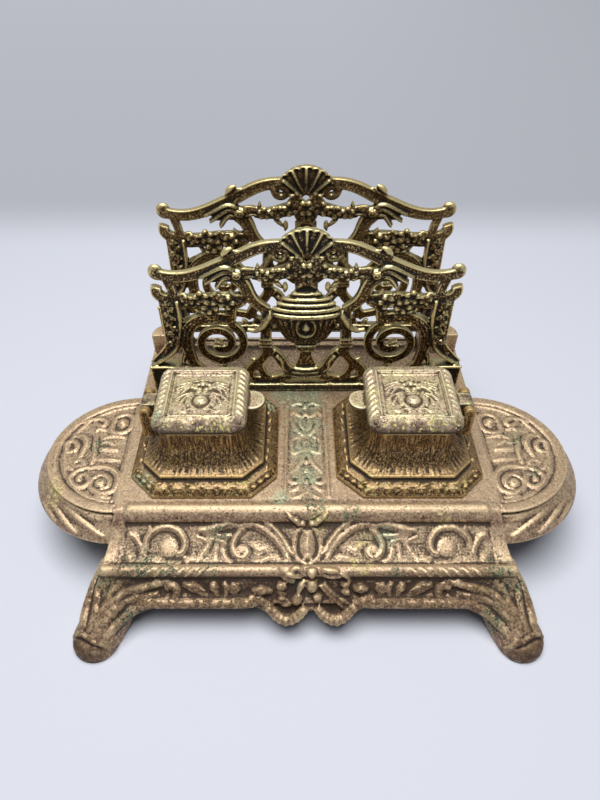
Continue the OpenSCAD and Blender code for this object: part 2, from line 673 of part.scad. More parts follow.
module rack_panel() {
    depth = 8.4;
    rotate([90, 0, 0]) {
        translate([0, 0, -panel_t / 2]) linear_extrude(panel_t) {
            both_sides() openwork_half();
            shell_fan(16.2);
            urn_outline();
            translate([0, 72]) circle(r = 5);
        }
        translate([0, 0, panel_t / 2 - 0.3]) linear_extrude(relief + 0.3) {
            both_sides() ridges_half();
            for (i = [0:shell_ribs - 1]) let (a = 42 + 96 * i / (shell_ribs - 1))
                stroke([[0, 80] + 6 * [cos(a), sin(a)], [0, 80] + 9 * [cos(a), sin(a)],
                        [0, 80] + 12 * [cos(a), sin(a)], [0, 80] + 15.4 * [cos(a), sin(a)]], 0.8, 2, 2);
            // rings of the urn's lid and foot, and its oval boss
            for (r = [[50.8, 16], [54, 14.4], [57.4, 12], [60.4, 9.4], [15.2, 8.2], [18.6, 7], [28.6, 3.4]])
                translate([-r[1], r[0]]) square([2 * r[1], 1.5]);
            difference() {
                translate([0, 43.6]) circle(r = 5.6);
                translate([0, 43.6]) circle(r = 4);
            }
            translate([0, 43.6]) circle(r = 2);
        }
        // moulded rail along the bottom, and the feet
        translate([-panel_x + 14, 0, -2.6]) cube([2 * panel_x - 28, 5, 5.2]);
    }
    both_sides() difference() {
        translate([panel_x - 16, -depth / 2, 0]) cube([16, depth, 18]);
        translate([panel_x - 14, -depth / 2 - 1, 7]) cube([11.4, 2.6, 9.6]);
        translate([rack_screw_x, 0, -1]) cylinder(d = screw_d, h = screw_in + 1);
    }
}

// ---- fastenings ------------------------------------------------------------
// Slotted screw driven up from below: its head bears on a boss of the base
module screw(bite_z) {
    seat = under - 2;
    difference() {
        union() {
            translate([0, 0, seat - 2.2]) cylinder(d = 6.4, h = 2.2);
            translate([0, 0, seat]) cylinder(d = screw_d, h = bite_z + screw_in - 0.6 - seat);
        }
        translate([-4, -0.5, seat - 3]) cube([8, 1, 1.9]);
    }
}

module well_screws(side) {
    color("dimgray") for (s = [-1, 1]) translate([side * well_x, well_y + s * 25, 0]) screw(deck_top);
}

module rack_screws(y, z) { color("dimgray") both_sides() translate([rack_screw_x, y, 0]) screw(z); }

module base_frame() { translate([0, -y_mid, 0]) children(); }

module hinge_pin(side) {
    color([0.45, 0.36, 0.2]) at_well(side) translate([pin_x, 0, well_h]) {
        len = knuckle_w + 2 * (lug_gap + lug_t) + 1;
        translate([0, len / 2, 0]) rotate([90, 0, 0]) cylinder(d = pin_d, h = len);
    }
}

module left_well_housing() { color([0.66, 0.55, 0.38]) at_well(-1) well_housing(); }
module right_well_housing() { color([0.66, 0.55, 0.38]) at_well(1) well_housing(); }
module left_ink_pot() { color([0.8, 0.86, 0.84]) at_well(-1) translate([0, 0, 2]) ink_pot(); }
module right_ink_pot() { color([0.8, 0.86, 0.84]) at_well(1) translate([0, 0, 2]) ink_pot(); }
module left_lid() { color([0.75, 0.66, 0.48]) at_well(-1) translate([0, 0, well_h]) lid(); }
module right_lid() { color([0.75, 0.66, 0.48]) at_well(1) translate([0, 0, well_h]) lid(); }
module left_hinge_pin() { hinge_pin(-1); }
module right_hinge_pin() { hinge_pin(1); }
module front_rack_panel() { color([0.3, 0.23, 0.14]) translate([0, front_y, deck_top]) rack_panel(); }
module rear_rack_panel() { color([0.3, 0.23, 0.14]) translate([0, rear_y, deck_top + block_h]) rack_panel(); }
module front_rack_screws() { rack_screws(front_y, deck_top); }
module rear_rack_screws() { rack_screws(rear_y, deck_top + block_h); }
module left_well_screws() { well_screws(-1); }
module right_well_screws() { well_screws(1); }

base_frame() base_casting();
base_frame() left_well_housing();
base_frame() right_well_housing();
base_frame() left_ink_pot();
base_frame() right_ink_pot();
base_frame() left_lid();
base_frame() right_lid();
base_frame() left_hinge_pin();
base_frame() right_hinge_pin();
base_frame() front_rack_panel();
base_frame() rear_rack_panel();
base_frame() front_rack_screws();
base_frame() rear_rack_screws();
base_frame() left_well_screws();
base_frame() right_well_screws();
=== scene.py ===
# %% [markdown]
# # A cast desk inkstand
# The real object is a Victorian-style desk set: a footed base of cast brass, two eight-sided ink
# wells with hinged lids, and a letter rack of two pierced panels. It was sand cast, so every
# ornament melts softly into its ground, and a century of handling has left gilt on the high
# places, dark dirt in the hollows and green verdigris where damp has sat.
#
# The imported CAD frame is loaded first. It gives each piece its place and its moving body.

# %% Load the frame
import math
import random

import bpy
import numpy as np
from mathutils import Matrix, Vector


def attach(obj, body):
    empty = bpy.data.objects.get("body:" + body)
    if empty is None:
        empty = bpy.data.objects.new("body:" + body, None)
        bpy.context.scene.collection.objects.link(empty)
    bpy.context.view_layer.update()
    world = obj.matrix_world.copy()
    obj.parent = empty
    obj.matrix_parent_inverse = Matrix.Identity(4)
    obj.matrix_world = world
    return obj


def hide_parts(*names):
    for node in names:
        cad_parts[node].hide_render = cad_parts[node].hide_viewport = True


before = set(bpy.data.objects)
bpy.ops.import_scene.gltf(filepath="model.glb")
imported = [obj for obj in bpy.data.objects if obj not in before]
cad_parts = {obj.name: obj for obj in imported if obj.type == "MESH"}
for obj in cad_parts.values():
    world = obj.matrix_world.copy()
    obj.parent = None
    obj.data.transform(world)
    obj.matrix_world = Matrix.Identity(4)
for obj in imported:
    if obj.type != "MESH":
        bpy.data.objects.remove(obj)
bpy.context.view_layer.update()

# %% [markdown]
# ## Camera
# The object is seen from the front, a little above desk-lamp height, with a lens of about the
# width of a phone's. A lens of 36 mm on a 36 mm wide frame is as wide as it is far.

# %% Camera
bpy.ops.object.camera_add()
camera = bpy.context.object
camera.name = "desk_camera"
camera.matrix_world = (Matrix.Translation((-0.00487, -0.19905, 0.26901))
                       @ Matrix.Rotation(math.radians(0.46), 4, "Z")
                       @ Matrix.Rotation(math.radians(45.61), 4, "X")
                       @ Matrix.Rotation(math.radians(-0.42), 4, "Z"))
camera.data.sensor_fit = "HORIZONTAL"
camera.data.sensor_width = 36
camera.data.lens = 36
camera.data.shift_x = 0.0117
camera.data.clip_start = 0.01
bpy.context.scene.camera = camera
bpy.context.scene.view_settings.view_transform = "Standard"
print("camera", tuple(round(v, 3) for v in camera.matrix_world.translation))

# %% [markdown]
# ## Measures
# The maker's drawings are in millimetres, with y counted back from the front edge of the deck.
# One function turns such a point into the frame's metres.

# %% Measures
DECK_MID = 39.049            # the deck's front edge lies this far in front of the frame's origin
DECK = 42.0                  # height of the deck's top
FOOT_FRONT, FOOT_REAR = 42.0, 54.4   # where the two rack panels stand
PANEL_FRONT, PANEL_REAR = 81.9, 118.0
WELL_X, WELL_Y = 49.0, 41.6


def at(x, y, z):
    return Vector((x / 1000, (y - DECK_MID) / 1000, z / 1000))


print("deck corner", tuple(round(v, 4) for v in at(89, 0, DECK)))

# %% [markdown]
# ## Drawing ornament
# Cast scrollwork is drawn as a modeller in wax would roll it: round strings that swell and
# taper, laid on a ground. Each string is a bevelled curve with its own radius at every point.
# When all the strings of a piece lie in place they are turned into a mesh, joined with the
# ground, and melted together by a voxel Remesh, which gives the soft joints of a casting.

# %% Lines to draw with
def mix(a, b, t):
    return a + (b - a) * t


def cubic(h, n=14):
    """Points on the cubic curve with the four handles h."""
    h = np.array(h, dtype=float)
    t = np.linspace(0, 1, n)[:, None]
    return ((1 - t) ** 3 * h[0] + 3 * (1 - t) ** 2 * t * h[1]
            + 3 * (1 - t) * t * t * h[2] + t ** 3 * h[3])


def through(points, per=6):
    """A smooth line through all the points."""
    p = np.array(points, dtype=float)
    p = np.vstack([2 * p[0] - p[1], p, 2 * p[-1] - p[-2]])
    out = []
    for i in range(1, len(p) - 2):
        for t in np.linspace(0, 1, per, endpoint=False):
            out.append(0.5 * (2 * p[i] + (p[i + 1] - p[i - 1]) * t
                              + (2 * p[i - 1] - 5 * p[i] + 4 * p[i + 1] - p[i + 2]) * t * t
                              + (3 * p[i] - p[i - 1] - 3 * p[i + 1] + p[i + 2]) * t ** 3))
    out.append(p[-2])
    return np.array(out)


def coil(cx, cy, r0, r1, start, turn, n=40):
    """A flat spiral from radius r0 to r1, angles in degrees."""
    t = np.linspace(0, 1, n)
    a = np.radians(start + turn * t)
    r = r1 + (r0 - r1) * (1 - t) ** 0.75
    return np.stack([cx + r * np.cos(a), cy + r * np.sin(a)], axis=1)


def beside(line, off):
    """The line moved sideways by off, which may be one number or one for each point."""
    line = np.array(line, dtype=float)
    d = np.gradient(line, axis=0)
    d /= np.maximum(np.linalg.norm(d, axis=1, keepdims=True), 1e-9)
    side = np.stack([-d[:, 1], d[:, 0]], axis=1)
    return line + side * np.reshape(off, (-1, 1))


def spread(radii, n):
    """The radii spread evenly over n points."""
    return np.interp(np.linspace(0, 1, n), np.linspace(0, 1, len(radii)), radii)


def swell(n, r0, r1, belly=1.0):
    """Radii from r0 to r1, thickened by belly in the middle."""
    t = np.linspace(0, 1, n)
    return mix(r0, r1, t) * (1 + (belly - 1) * np.sin(np.pi * t))


print("a spiral of", len(coil(0, 0, 3, 1, 0, 360)), "points")

# %% Strings of wax
THINNEST = 0.08              # radius in mm below which a string would melt away


class Wax:
    """A curve object that collects strings, all in millimetres until they are placed."""

    def __init__(self, name, place, sides=2):
        self.data = bpy.data.curves.new(name, "CURVE")
        self.data.dimensions = "3D"
        self.data.bevel_depth = 1
        self.data.bevel_resolution = sides
        self.data.use_fill_caps = True
        self.place, self.name = place, name

    def string(self, line, radii):
        n = len(line)
        radii = np.broadcast_to(radii, (n,))
        spline = self.data.splines.new("POLY")
        spline.points.add(n - 1)
        for point, q, r in zip(spline.points, line, radii):
            point.co = (*self.place(*q), 1)
            point.radius = max(r, THINNEST) / 1000

    def mesh(self):
        ob = bpy.data.objects.new(self.name, self.data)
        bpy.context.collection.objects.link(ob)
        only(ob)
        bpy.ops.object.convert(target="MESH")
        return bpy.context.object


def only(*obs):
    """These objects are selected and the first is active."""
    if bpy.context.mode != "OBJECT":
        bpy.ops.object.mode_set(mode="OBJECT")
    bpy.ops.object.select_all(action="DESELECT")
    for ob in obs:
        ob.select_set(True)
    bpy.context.view_layer.objects.active = obs[0]


print("a cubic of", len(cubic([[0, 0], [1, 0], [1, 1], [2, 1]])), "points")

# %% [markdown]
# ## Where hands and dirt have been
# Gilt shows on what stands proud and dirt sits in what lies low. Each point of a casting is
# compared with where it would be if a neighbourhood of about 1.5 mm were smoothed flat. The
# height that it stands proud, in tenths of a millimetre, is kept on the mesh as "proud" for the
# materials, and how much the surface faces up, from -1 to 1, as "up".

# %% Proud and hollow
def mark_proud(ob, voxel):
    mesh = ob.data
    n = len(mesh.vertices)
    co = np.empty(n * 3)
    mesh.vertices.foreach_get("co", co)
    co = co.reshape(-1, 3) * 1000
    no = np.empty(n * 3)
    mesh.vertices.foreach_get("normal", no)
    no = no.reshape(-1, 3)
    ends = np.empty(len(mesh.edges) * 2, dtype=np.int64)
    mesh.edges.foreach_get("vertices", ends)
    a, b = ends[0::2], ends[1::2]
    count = np.maximum(np.bincount(a, minlength=n) + np.bincount(b, minlength=n), 1)
    flat = co.copy()
    for _ in range(round(5 / voxel ** 2)):
        flat = np.stack([(np.bincount(a, flat[b, i], n) + np.bincount(b, flat[a, i], n)) / count
                         for i in range(3)], axis=1)
    total = ((co - flat) * no).sum(axis=1) * 10
    for key, values in (("proud", np.clip(total, -20, 20)), ("up", no[:, 2])):
        layer = mesh.attributes.new(key, "FLOAT", "POINT")
        layer.data.foreach_set("value", values.astype(np.float32))
    print(ob.name, "proud from", *[round(float(np.percentile(total, q)), 2) for q in (2, 20, 50, 80, 98)])


# %% [markdown]
# ## Joining and melting
# The parts of a casting are joined, melted with voxels of about half a millimetre, and relaxed
# a little. Flat places then need few faces, so a Decimate thins the mesh to what the ornament
# needs. The finished piece keeps its place in its mesh and its object at the origin.

# %% Casting
def join(name, *obs):
    only(*obs)
    if len(obs) > 1:
        bpy.ops.object.join()
    ob = bpy.context.object
    bpy.ops.object.transform_apply(location=True, rotation=True, scale=True)
    ob.name = ob.data.name = name
    return ob


def modify(ob, kind, **settings):
    only(ob)
    mod = ob.modifiers.new(kind.title(), kind)
    for key, value in settings.items():
        setattr(mod, key, value)
    bpy.ops.object.modifier_apply(modifier=mod.name)


def melt(ob, voxel, most):
    """One skin with voxels of the given size in mm, marked, then thinned to at most so many triangles."""
    modify(ob, "REMESH", mode="VOXEL", voxel_size=voxel / 1000, use_smooth_shade=True)
    modify(ob, "SMOOTH", factor=0.5, iterations=1)
    mark_proud(ob, voxel)
    before = len(ob.data.polygons) * 2
    if before > most:
        modify(ob, "DECIMATE", ratio=most / before, use_collapse_triangulate=True)
    ob.data.shade_smooth()
    print(ob.name, "melted:", before, "triangles, now",
          sum(len(p.vertices) - 2 for p in ob.data.polygons))
    return ob

# %% [markdown]
# ## The pierced rack panel
# Two equal castings stand behind the wells and hold letters between them. Each is a web of
# straps: a swan-necked top rail with a shell in its middle, curled tips, a bird's head that
# holds a garland in its beak, flowered bars, an acanthus leaf round a spiral, and a covered urn.
# The straps are drawn for the right half only, as a cubic curve with its width at both ends, and
# the left half is the same with x turned round.

# %% Rack: the straps
STRAPS = [  # handles of the curve in x and z above the panel's foot, and the two widths
    ([[70.0, 73.4], [58, 69.4], [50, 74], [38, 79.2]], 5.4, 6.8),
    ([[38, 79.2], [29, 83], [24, 88.4], [12, 88.2]], 6.8, 5.6),
    ([[71.4, 66.4], [74, 60.6], [66, 58], [58, 58]], 5.6, 6.2),
    ([[66, 70], [64.6, 66], [64, 63], [64.4, 60]], 4.2, 4.4),
    ([[62, 58], [52, 57], [44, 61], [29, 59]], 8.0, 7.0),
    ([[46.6, 70.8], [42, 71.6], [40, 73.2], [34, 73]], 3.4, 8.4),
    ([[33, 71.6], [26.4, 66], [30.6, 60], [18.8, 52.6]], 8.4, 5.4),
    ([[38, 47.6], [60, 54.0], [65, 36], [58.4, 17]], 7.6, 5.6),
    ([[33, 60], [39, 53], [36, 50], [37.6, 46.6]], 6.4, 5.4),
    ([[20.6, 30], [20.2, 38], [20.2, 46], [19.4, 53]], 6.2, 5.6),
    ([[20.6, 31], [18, 20], [32, 19], [30, 9]], 5.4, 6.2),
    ([[18.6, 27], [12.4, 25], [13.4, 17], [7, 13]], 5.6, 5.6),
    ([[22, 25], [25.4, 19], [25, 11], [18, 7.4]], 3.4, 4.4),
    ([[29, 8], [21, 4.4], [16, 7], [8, 10.6]], 6.2, 6.4),
    ([[25.4, 73.2], [17, 71.4], [12, 74.4], [3, 76.0]], 5.0, 8.0),
    ([[57.6, 18], [55, 12], [48, 12], [44, 4]], 5.0, 4.4),
    ([[44, 17], [40, 10], [34, 14], [30, 9]], 4.4, 4.4),
    ([[58, 17], [62, 14], [66, 14], [69, 17]], 4.4, 4.4),
]
FLAT = 0.86   # a strap is squeezed to this share of the depth of its strings
ROLL = 2.2    # radius of the thickest string in a strap


def panel_place(x, z, y=0.0):
    return at(x, PANEL_FRONT + y, FOOT_FRONT + z)


def both(wax, line, radii, y=0.0):
    """A string in the right half and its twin in the left."""
    line = np.array(line, dtype=float)
    ys = np.broadcast_to(y, (len(line),))
    for s in (1, -1):
        wax.string([(s * p[0], p[1], q) for p, q in zip(line, ys)], radii)


print(len(STRAPS), "straps listed")

# %% Rack: laying the straps
web = Wax("rack_web", panel_place, sides=3)
lines = Wax("rack_lines", panel_place, sides=2)


def strap(line, width, edge=0.6):
    """Strings side by side make the strap, and a raised line follows each of its edges."""
    roll = np.minimum(width / 2, ROLL)
    off = width / 2 - roll
    for s in (-1, 1) if off.max() > 0.2 else (0,):
        both(web, beside(line, s * off), roll)
    away = 0.36 * width
    front = FLAT * np.sqrt(np.maximum(roll ** 2 - (away - off) ** 2, 0.1))
    for s in (-1, 1):
        both(lines, beside(line, s * away), edge, -front - 0.1)


for handles, w0, w1 in STRAPS:
    strap(cubic(handles, 16), np.linspace(w0, w1, 16))
spiral = coil(44.2, 32.6, 13.4, 2.4, 116, 560, 56)
strap(spiral, np.linspace(4.8, 4.4, 56), 0.6)
both(web, [[44.4, 32.2], [44.0, 32.8]], 2.4)
volute = coil(11.8, 84.4, 3.9, 1.1, 90, -400, 40)
strap(volute, np.linspace(4.6, 2.4, 40), 0.6)
both(web, volute, 1.8, -1.2)
tip = coil(70.2, 74.6, 2.4, 0.8, 250, 330, 24)
both(web, tip, np.linspace(2.6, 1.5, 24))
upright = through([[66.6, 59.5], [66.6, 48], [67.2, 38], [68.9, 30], [73.6, 23.4], [80.6, 18]])
for off in (-1, 1):
    half = np.interp(np.linspace(0, 1, len(upright)), [0, .4, .6, .8, 1], [5, 5, 4.2, 2.8, 1.5])
    both(web, beside(upright, off * (half - np.minimum(half, ROLL))), np.minimum(half, ROLL))
both(web, upright, 1.6)
print(len(STRAPS) + 3, "straps in each half")

# %% [markdown]
# A flower is a bud with petals round it, a leaf is a string that swells and ends in a point, with
# one vein along its middle. Both are laid wherever the garlands have one, each a little different
# in size and turn, as they are on a hand-made pattern.

# %% Rack: flowers and leaves
def flower(wax, x, z, r, petals=5, turn=0, y=-1.0, bud=0.34):
    for k in range(petals):
        a = math.radians(turn + 360 * k / petals)
        c, s = math.cos(a), math.sin(a)
        wax.string([(x + r * f * c, z + r * f * s, y + g) for f, g in
                    ((0.25, -0.1), (0.5, -0.45), (0.75, -0.5), (0.95, 0.1))],
                   [r * 0.2, r * 0.36, r * 0.42, r * 0.24])
    wax.string([(x - 0.1, z, y - 0.2), (x, z, y - 0.7), (x + 0.1, z, y - 1.1)],
               [r * bud, r * bud, r * bud * 0.6])


def leaf(wax, x, z, length, width, turn, y, curl):
    a = math.radians(turn)
    pts = []
    for t in np.linspace(0, 1, 9):
        b = a + math.radians(curl) * t
        pts.append((x + length * t * math.cos(b), z + length * t * math.sin(b)))
    fat = np.sin(np.pi * np.linspace(0.12, 0.97, 9)) ** 0.8 * width / 2
    wax.string([(p[0], p[1], y) for p in pts], fat)
    wax.string([(p[0], p[1], y - f * 0.75) for p, f in zip(pts, fat)], 0.3)


for x, z, r, turn in ((50.6, 60.8, 4.0, 10), (38.6, 58, 4.2, 40), (57.2, 59.4, 3.2, 0),
                      (46.8, 55.6, 4.4, 60), (20.6, 73.2, 3.4, 20), (14.0, 74.0, 3.8, 50),
                      (7.4, 75.6, 4.0, 0), (5.0, 81, 3.2, 30), (43.6, 61.6, 2.6, 15)):
    for s in (1, -1):
        flower(lines, s * x, z, r, 5, turn if s > 0 else 180 - turn, -1.5)
for x, z, size, width, turn in ((45, 57, 6, 2.8, 160), (33, 60.6, 6, 2.6, 30), (55, 55, 5, 2.4, 220),
                                (62, 60, 5, 2.6, 120), (16, 69.6, 6, 2.6, 200), (10.4, 69, 6, 2.8, 250),
                                (22, 74.6, 5, 2.2, 60), (9, 76.6, 5, 2.6, 100), (1.6, 70, 5.4, 3, 280),
                                (30, 58, 6, 2.4, 300), (24.6, 20, 5, 2.4, 10), (14, 9.4, 6, 3, 150),
                                (38.6, 82.4, 7.0, 3.6, 112), (34, 84.6, 4.4, 2.2, 150),
                                (48, 5.6, 5, 2.6, 20), (60, 16, 5.5, 2.8, 110), (36, 8, 5, 2.6, 200)):
    for s in (1, -1):
        leaf(lines, s * x, z, size, width, turn if s > 0 else 180 - turn, -1.0, 24 * s)
flower(lines, 0, 76, 4.2, 6, 0, -1.8)
both(web, cubic([[0, 78], [4, 76], [5, 72], [0.5, 67]], 8), swell(8, 2.4, 2.4, 1.2))
print("garlands laid")

# %% [markdown]
# The bird's head looks inwards with the garland in its beak. Feathers are strings that start at
# the eye and sweep back; the acanthus leaf throws its lobes outwards round the spiral.

# %% Rack: bird's head and acanthus
def ring(wax, x, z, r, thick, y):
    a = np.linspace(0, 2 * math.pi, 21)
    both(wax, np.stack([x + r * np.cos(a), z + r * np.sin(a)], axis=1), thick, y)


both(web, [[33.2, 73.2], [31.4, 73.8]], 3.3, -0.6)
ring(lines, 32.6, 73.6, 1.5, 0.5, -3.6)
both(lines, [[32.4, 73.6], [32.8, 73.6]], 0.8, -3.6)
both(web, through([[31, 74], [27.4, 75.0], [23.8, 74.6], [21.6, 72.6]]), swell(19, 2.6, 0.9, 1.1), -0.8)
both(lines, through([[30.4, 76.6], [27, 76.6], [23.4, 75.2]]), swell(13, 0.8, 0.4), -1.6)
both(lines, through([[29.6, 72.2], [26, 72.4], [23, 72]]), swell(13, 0.6, 0.3), -2.4)
for lift, end in ((3.8, (50, 71.8)), (0.9, (48, 68.4)), (-2.2, (43, 65.6))):
    both(web, through([[34, 73.6 + lift * 0.6], [39, 73.6 + lift], end]), swell(13, 1.9, 1.3, 1.2), -0.4)
    both(lines, through([[34, 73.6 + lift * 0.6], [39, 73.6 + lift], end]), swell(13, 1.0, 0.6, 1.3), -2.3)
for s in (-0.28, 0, 0.28):
    neck = cubic([[33, 71.6], [25.4, 66], [31.6, 60], [18.6, 52.6]], 16)
    both(lines, beside(neck, s * 6), swell(16, 0.6, 0.4), -1.6)
leafline = cubic([[38, 47.6], [60, 54.0], [65, 36], [58.4, 17]], 24)
for off, cut in ((-2.6, 22), (-0.9, 20), (0.8, 18), (2.5, 14)):
    both(lines, beside(leafline, off)[2:cut], swell(cut - 2, 0.6, 0.35, 1.5), -2.0)
for i in (2, 6, 10, 14, 18):
    p, q = leafline[i], leafline[min(i + 5, 23)]
    out = q - p
    out = np.array([-out[1], out[0]]) * 0.5
    both(web, through([p, (p + q) / 2 + out * 0.7, q + out * 1.1]), swell(13, 1.9, 0.7, 1.15))
    both(lines, through([p, (p + q) / 2 + out * 0.7, q + out * 1.0]), swell(13, 0.6, 0.3), -1.7)
both(web, [[44, 18.2], [44, 18.6]], 3.0)
both(lines, [[46.2, 33.2], [46.6, 33.2]], 1.7, -0.6)
both(web, [[16.4, 26.6], [17.0, 27.0]], 2.4, -1.0)
both(lines, through([[15.2, 24.4], [12.6, 21], [11.8, 16], [9.4, 13.6]]), swell(19, 1.1, 0.6, 1.4), -2.0)
both(lines, through([[17.6, 50.8], [19.6, 47.4], [22.0, 43.8], [25.6, 41.8], [29.4, 42.6]]),
     swell(25, 1.5, 1.0, 1.4), -2.9)
both(lines, [[17.0, 51.2], [18.0, 51.0]], 1.8, -2.4)
print("bird and leaf laid")

# %% [markdown]
# The upright carries a strip of small flowers between two mouldings, the column a collar of
# rings, and the shell nine ribs that swell to a lobed edge.

# %% Rack: upright, column and shell
both(lines, through([[62.6, 58.6], [62.5, 47], [63.8, 38], [66.4, 30], [71.4, 24], [80.4, 18.2]]), 0.95, -2.2)
both(lines, through([[71, 59], [71.3, 47], [71.3, 38], [70.9, 33.4], [75, 27], [81.4, 20]]), 0.6, -1.2)
random.seed(4)
for k in range(9):
    z = 57 - 3.0 * k
    x = 67.2 + 0.9 * (-1) ** k
    for s in (1, -1):
        flower(lines, s * x, z, 1.8 + 0.2 * random.random(), 4, 30 * k, -1.7, 0.4)
both(web, [[17.2, 31.2], [24, 31.2]], 1.7)
for z in (30.6, 32.8, 35.0):
    both(lines, [[17.2, z], [24, z]], 0.75, -1.9)
both(lines, [[20.3, 38.5], [20.1, 44], [19.6, 51]], [1.0, 1.3, 0.7], -1.3)
for i in range(9):
    a = math.radians(42 + 12 * i)
    c, s = math.cos(a), math.sin(a)
    reach = 15.8 + 0.9 * math.sin(math.radians(180 * i / 8))
    fan = [(reach * f * c, 80 + reach * f * s) for f in (0.15, 0.5, 0.8, 0.93, 1.0)]
    web.string([(x, z, 0) for x, z in fan], [1.4, 2.0, 2.5, 2.4, 1.4])
    if i % 2 == 0:
        lines.string([(x, z, y) for (x, z), y in zip(fan, (-1.6, -2.2, -2.5, -2.5, -1.2))],
                     [0.6, 0.7, 0.8, 0.8, 0.6])
for i in range(8):                           # lobes of the edge
    a0, a1 = math.radians(42 + 12 * i), math.radians(54 + 12 * i)
    lobe = [((15.4 + bow) * math.cos(a), 80 + (15.4 + bow) * math.sin(a), -1.9)
            for a, bow in ((a0, 0), (a0 * 0.75 + a1 * 0.25, .9), ((a0 + a1) / 2, 1.2),
                           (a0 * 0.25 + a1 * 0.75, .9), (a1, 0))]
    lines.string(lobe, 0.55)
print("shell of 9 ribs laid")

# %% [markdown]
# The urn is turned work pressed flat: a profile spun round its axis and squeezed in depth. In
# Blender a line of points is made a mesh, Spin carries it round, and the ends are closed.

# %% Rack: the urn
URN = [(8.6, 9), (8.8, 11), (8.2, 12.4), (6.4, 13.6), (6.8, 15.4), (5.4, 17), (4.6, 19.6), (3.4, 23),
       (3.0, 26.4), (4.4, 28.4), (3.8, 29.6), (6.6, 31.4), (10.4, 35), (13, 40), (15, 46), (16, 49.2),
       (17, 50), (17, 51.6), (15.4, 52.4), (16, 53.6), (14.6, 54.6), (14, 56), (12.6, 56.6), (12, 58.4),
       (10, 59), (9.4, 60.8), (7.4, 61.4), (6.4, 63.0), (5.6, 64.4), (5.6, 68), (3.4, 69.4)]


def spun(name, profile, x0, y0, z0, squeeze):
    """A profile of radius against height, spun round z at (x0, y0) and pressed flat in depth."""
    bpy.ops.object.select_all(action="DESELECT")
    bpy.ops.mesh.primitive_circle_add(vertices=len(profile), radius=0.01, location=(0, 0, 0))
    ob = bpy.context.object
    me = ob.data
    for v, (r, z) in zip(me.vertices, profile):
        v.co = (r / 1000, 0, z / 1000)
    bpy.ops.object.mode_set(mode="EDIT")
    bpy.ops.mesh.select_mode(type="EDGE")
    bpy.ops.mesh.select_all(action="DESELECT")
    bpy.ops.object.mode_set(mode="OBJECT")
    last = len(profile) - 1
    for e in me.edges:                       # the edge that closes the ring goes
        e.select = set(e.vertices) == {0, last}
    bpy.ops.object.mode_set(mode="EDIT")
    bpy.ops.mesh.delete(type="EDGE")
    bpy.ops.mesh.select_all(action="SELECT")
    bpy.ops.mesh.spin(steps=40, angle=2 * math.pi, center=(0, 0, 0), axis=(0, 0, 1))
    bpy.ops.mesh.select_all(action="SELECT")
    bpy.ops.mesh.remove_doubles(threshold=1e-6)
    bpy.ops.mesh.select_all(action="DESELECT")
    bpy.ops.mesh.select_non_manifold()
    bpy.ops.mesh.fill_holes(sides=0)
    bpy.ops.mesh.select_all(action="SELECT")
    bpy.ops.mesh.normals_make_consistent(inside=False)
    bpy.ops.transform.resize(value=(1, squeeze, 1), center_override=(0, 0, 0))
    bpy.ops.transform.translate(value=at(x0, y0, z0))
    bpy.ops.object.mode_set(mode="OBJECT")
    ob.name = name
    return ob


print("the urn turns round", len(URN), "points")

# %% Rack: fluting the urn
URN_DEPTH = 0.2
urn = spun("rack_urn", URN, 0, PANEL_FRONT, FOOT_FRONT, URN_DEPTH)
for k in range(11):                          # the fluted bowl
    a = math.radians(-75 + 15 * k)
    flute = [(r * math.sin(a), z, -URN_DEPTH * r * math.cos(a)) for r, z in
             ((7.2, 32), (10.6, 35.4), (13, 40), (14.6, 45), (15.4, 47.4))]
    lines.string(flute, [0.4, 0.7, 0.9, 0.9, 0.5])
for r, z, fat in ((8.8, 9.6, 1.3), (8.2, 12.2, 1.1), (6.8, 14.8, 1.0),            # rings on the foot,
                  (4.6, 27.6, 1.0), (4.8, 29.8, 0.9), (16.8, 50.8, 1.4),          # the stem and the rim
                  (15.8, 54.0, 1.2), (13.8, 57.0, 1.1), (11.4, 59.8, 1.0), (7.0, 62.4, 0.9)):   # and the lid
    lines.string([(r * math.sin(a), z, -0.26 * r * math.cos(a) - 0.3)
                  for a in np.radians(np.linspace(-90, 90, 15))], fat)
lines.string([(4.6 * math.cos(a), 43.4 + 5.6 * math.sin(a), -3.3)
              for a in np.linspace(0, 2 * math.pi, 25)], 0.75)
lines.string([(0, 42, -3.0), (0, 43.4, -3.3), (0, 45, -3.0)], [1.5, 2.3, 1.5])
for s in (1, -1):                            # the handles, curling up to the columns
    lines.string([(s * x, z, -0.6) for x, z in through([[15, 50], [17.6, 46], [17, 42], [14.6, 43]])], 0.9)
print("urn of", len(URN), "rings")

# %% [markdown]
# The bottom rail has three mouldings, and at each end a block with a sunk field stands on the
# deck. Rail and blocks start as cubes: their edges are bevelled and the field is inset and
# pushed in.

# %% Rack: rail and foot blocks
def block(name, x0, x1, y0, y1, z0, z1, bevel=0.6):
    bpy.ops.object.select_all(action="DESELECT")
    centre = at((x0 + x1) / 2, (y0 + y1) / 2, (z0 + z1) / 2)
    bpy.ops.mesh.primitive_cube_add(size=1, location=centre)
    ob = bpy.context.object
    ob.scale = ((x1 - x0) / 1000, (y1 - y0) / 1000, (z1 - z0) / 1000)
    bpy.ops.object.transform_apply(location=True, rotation=True, scale=True)
    ob.name = name
    bpy.ops.object.mode_set(mode="EDIT")
    bpy.ops.mesh.select_all(action="SELECT")
    bpy.ops.mesh.bevel(offset=bevel / 1000, segments=2, affect="EDGES")
    bpy.ops.object.mode_set(mode="OBJECT")
    return ob


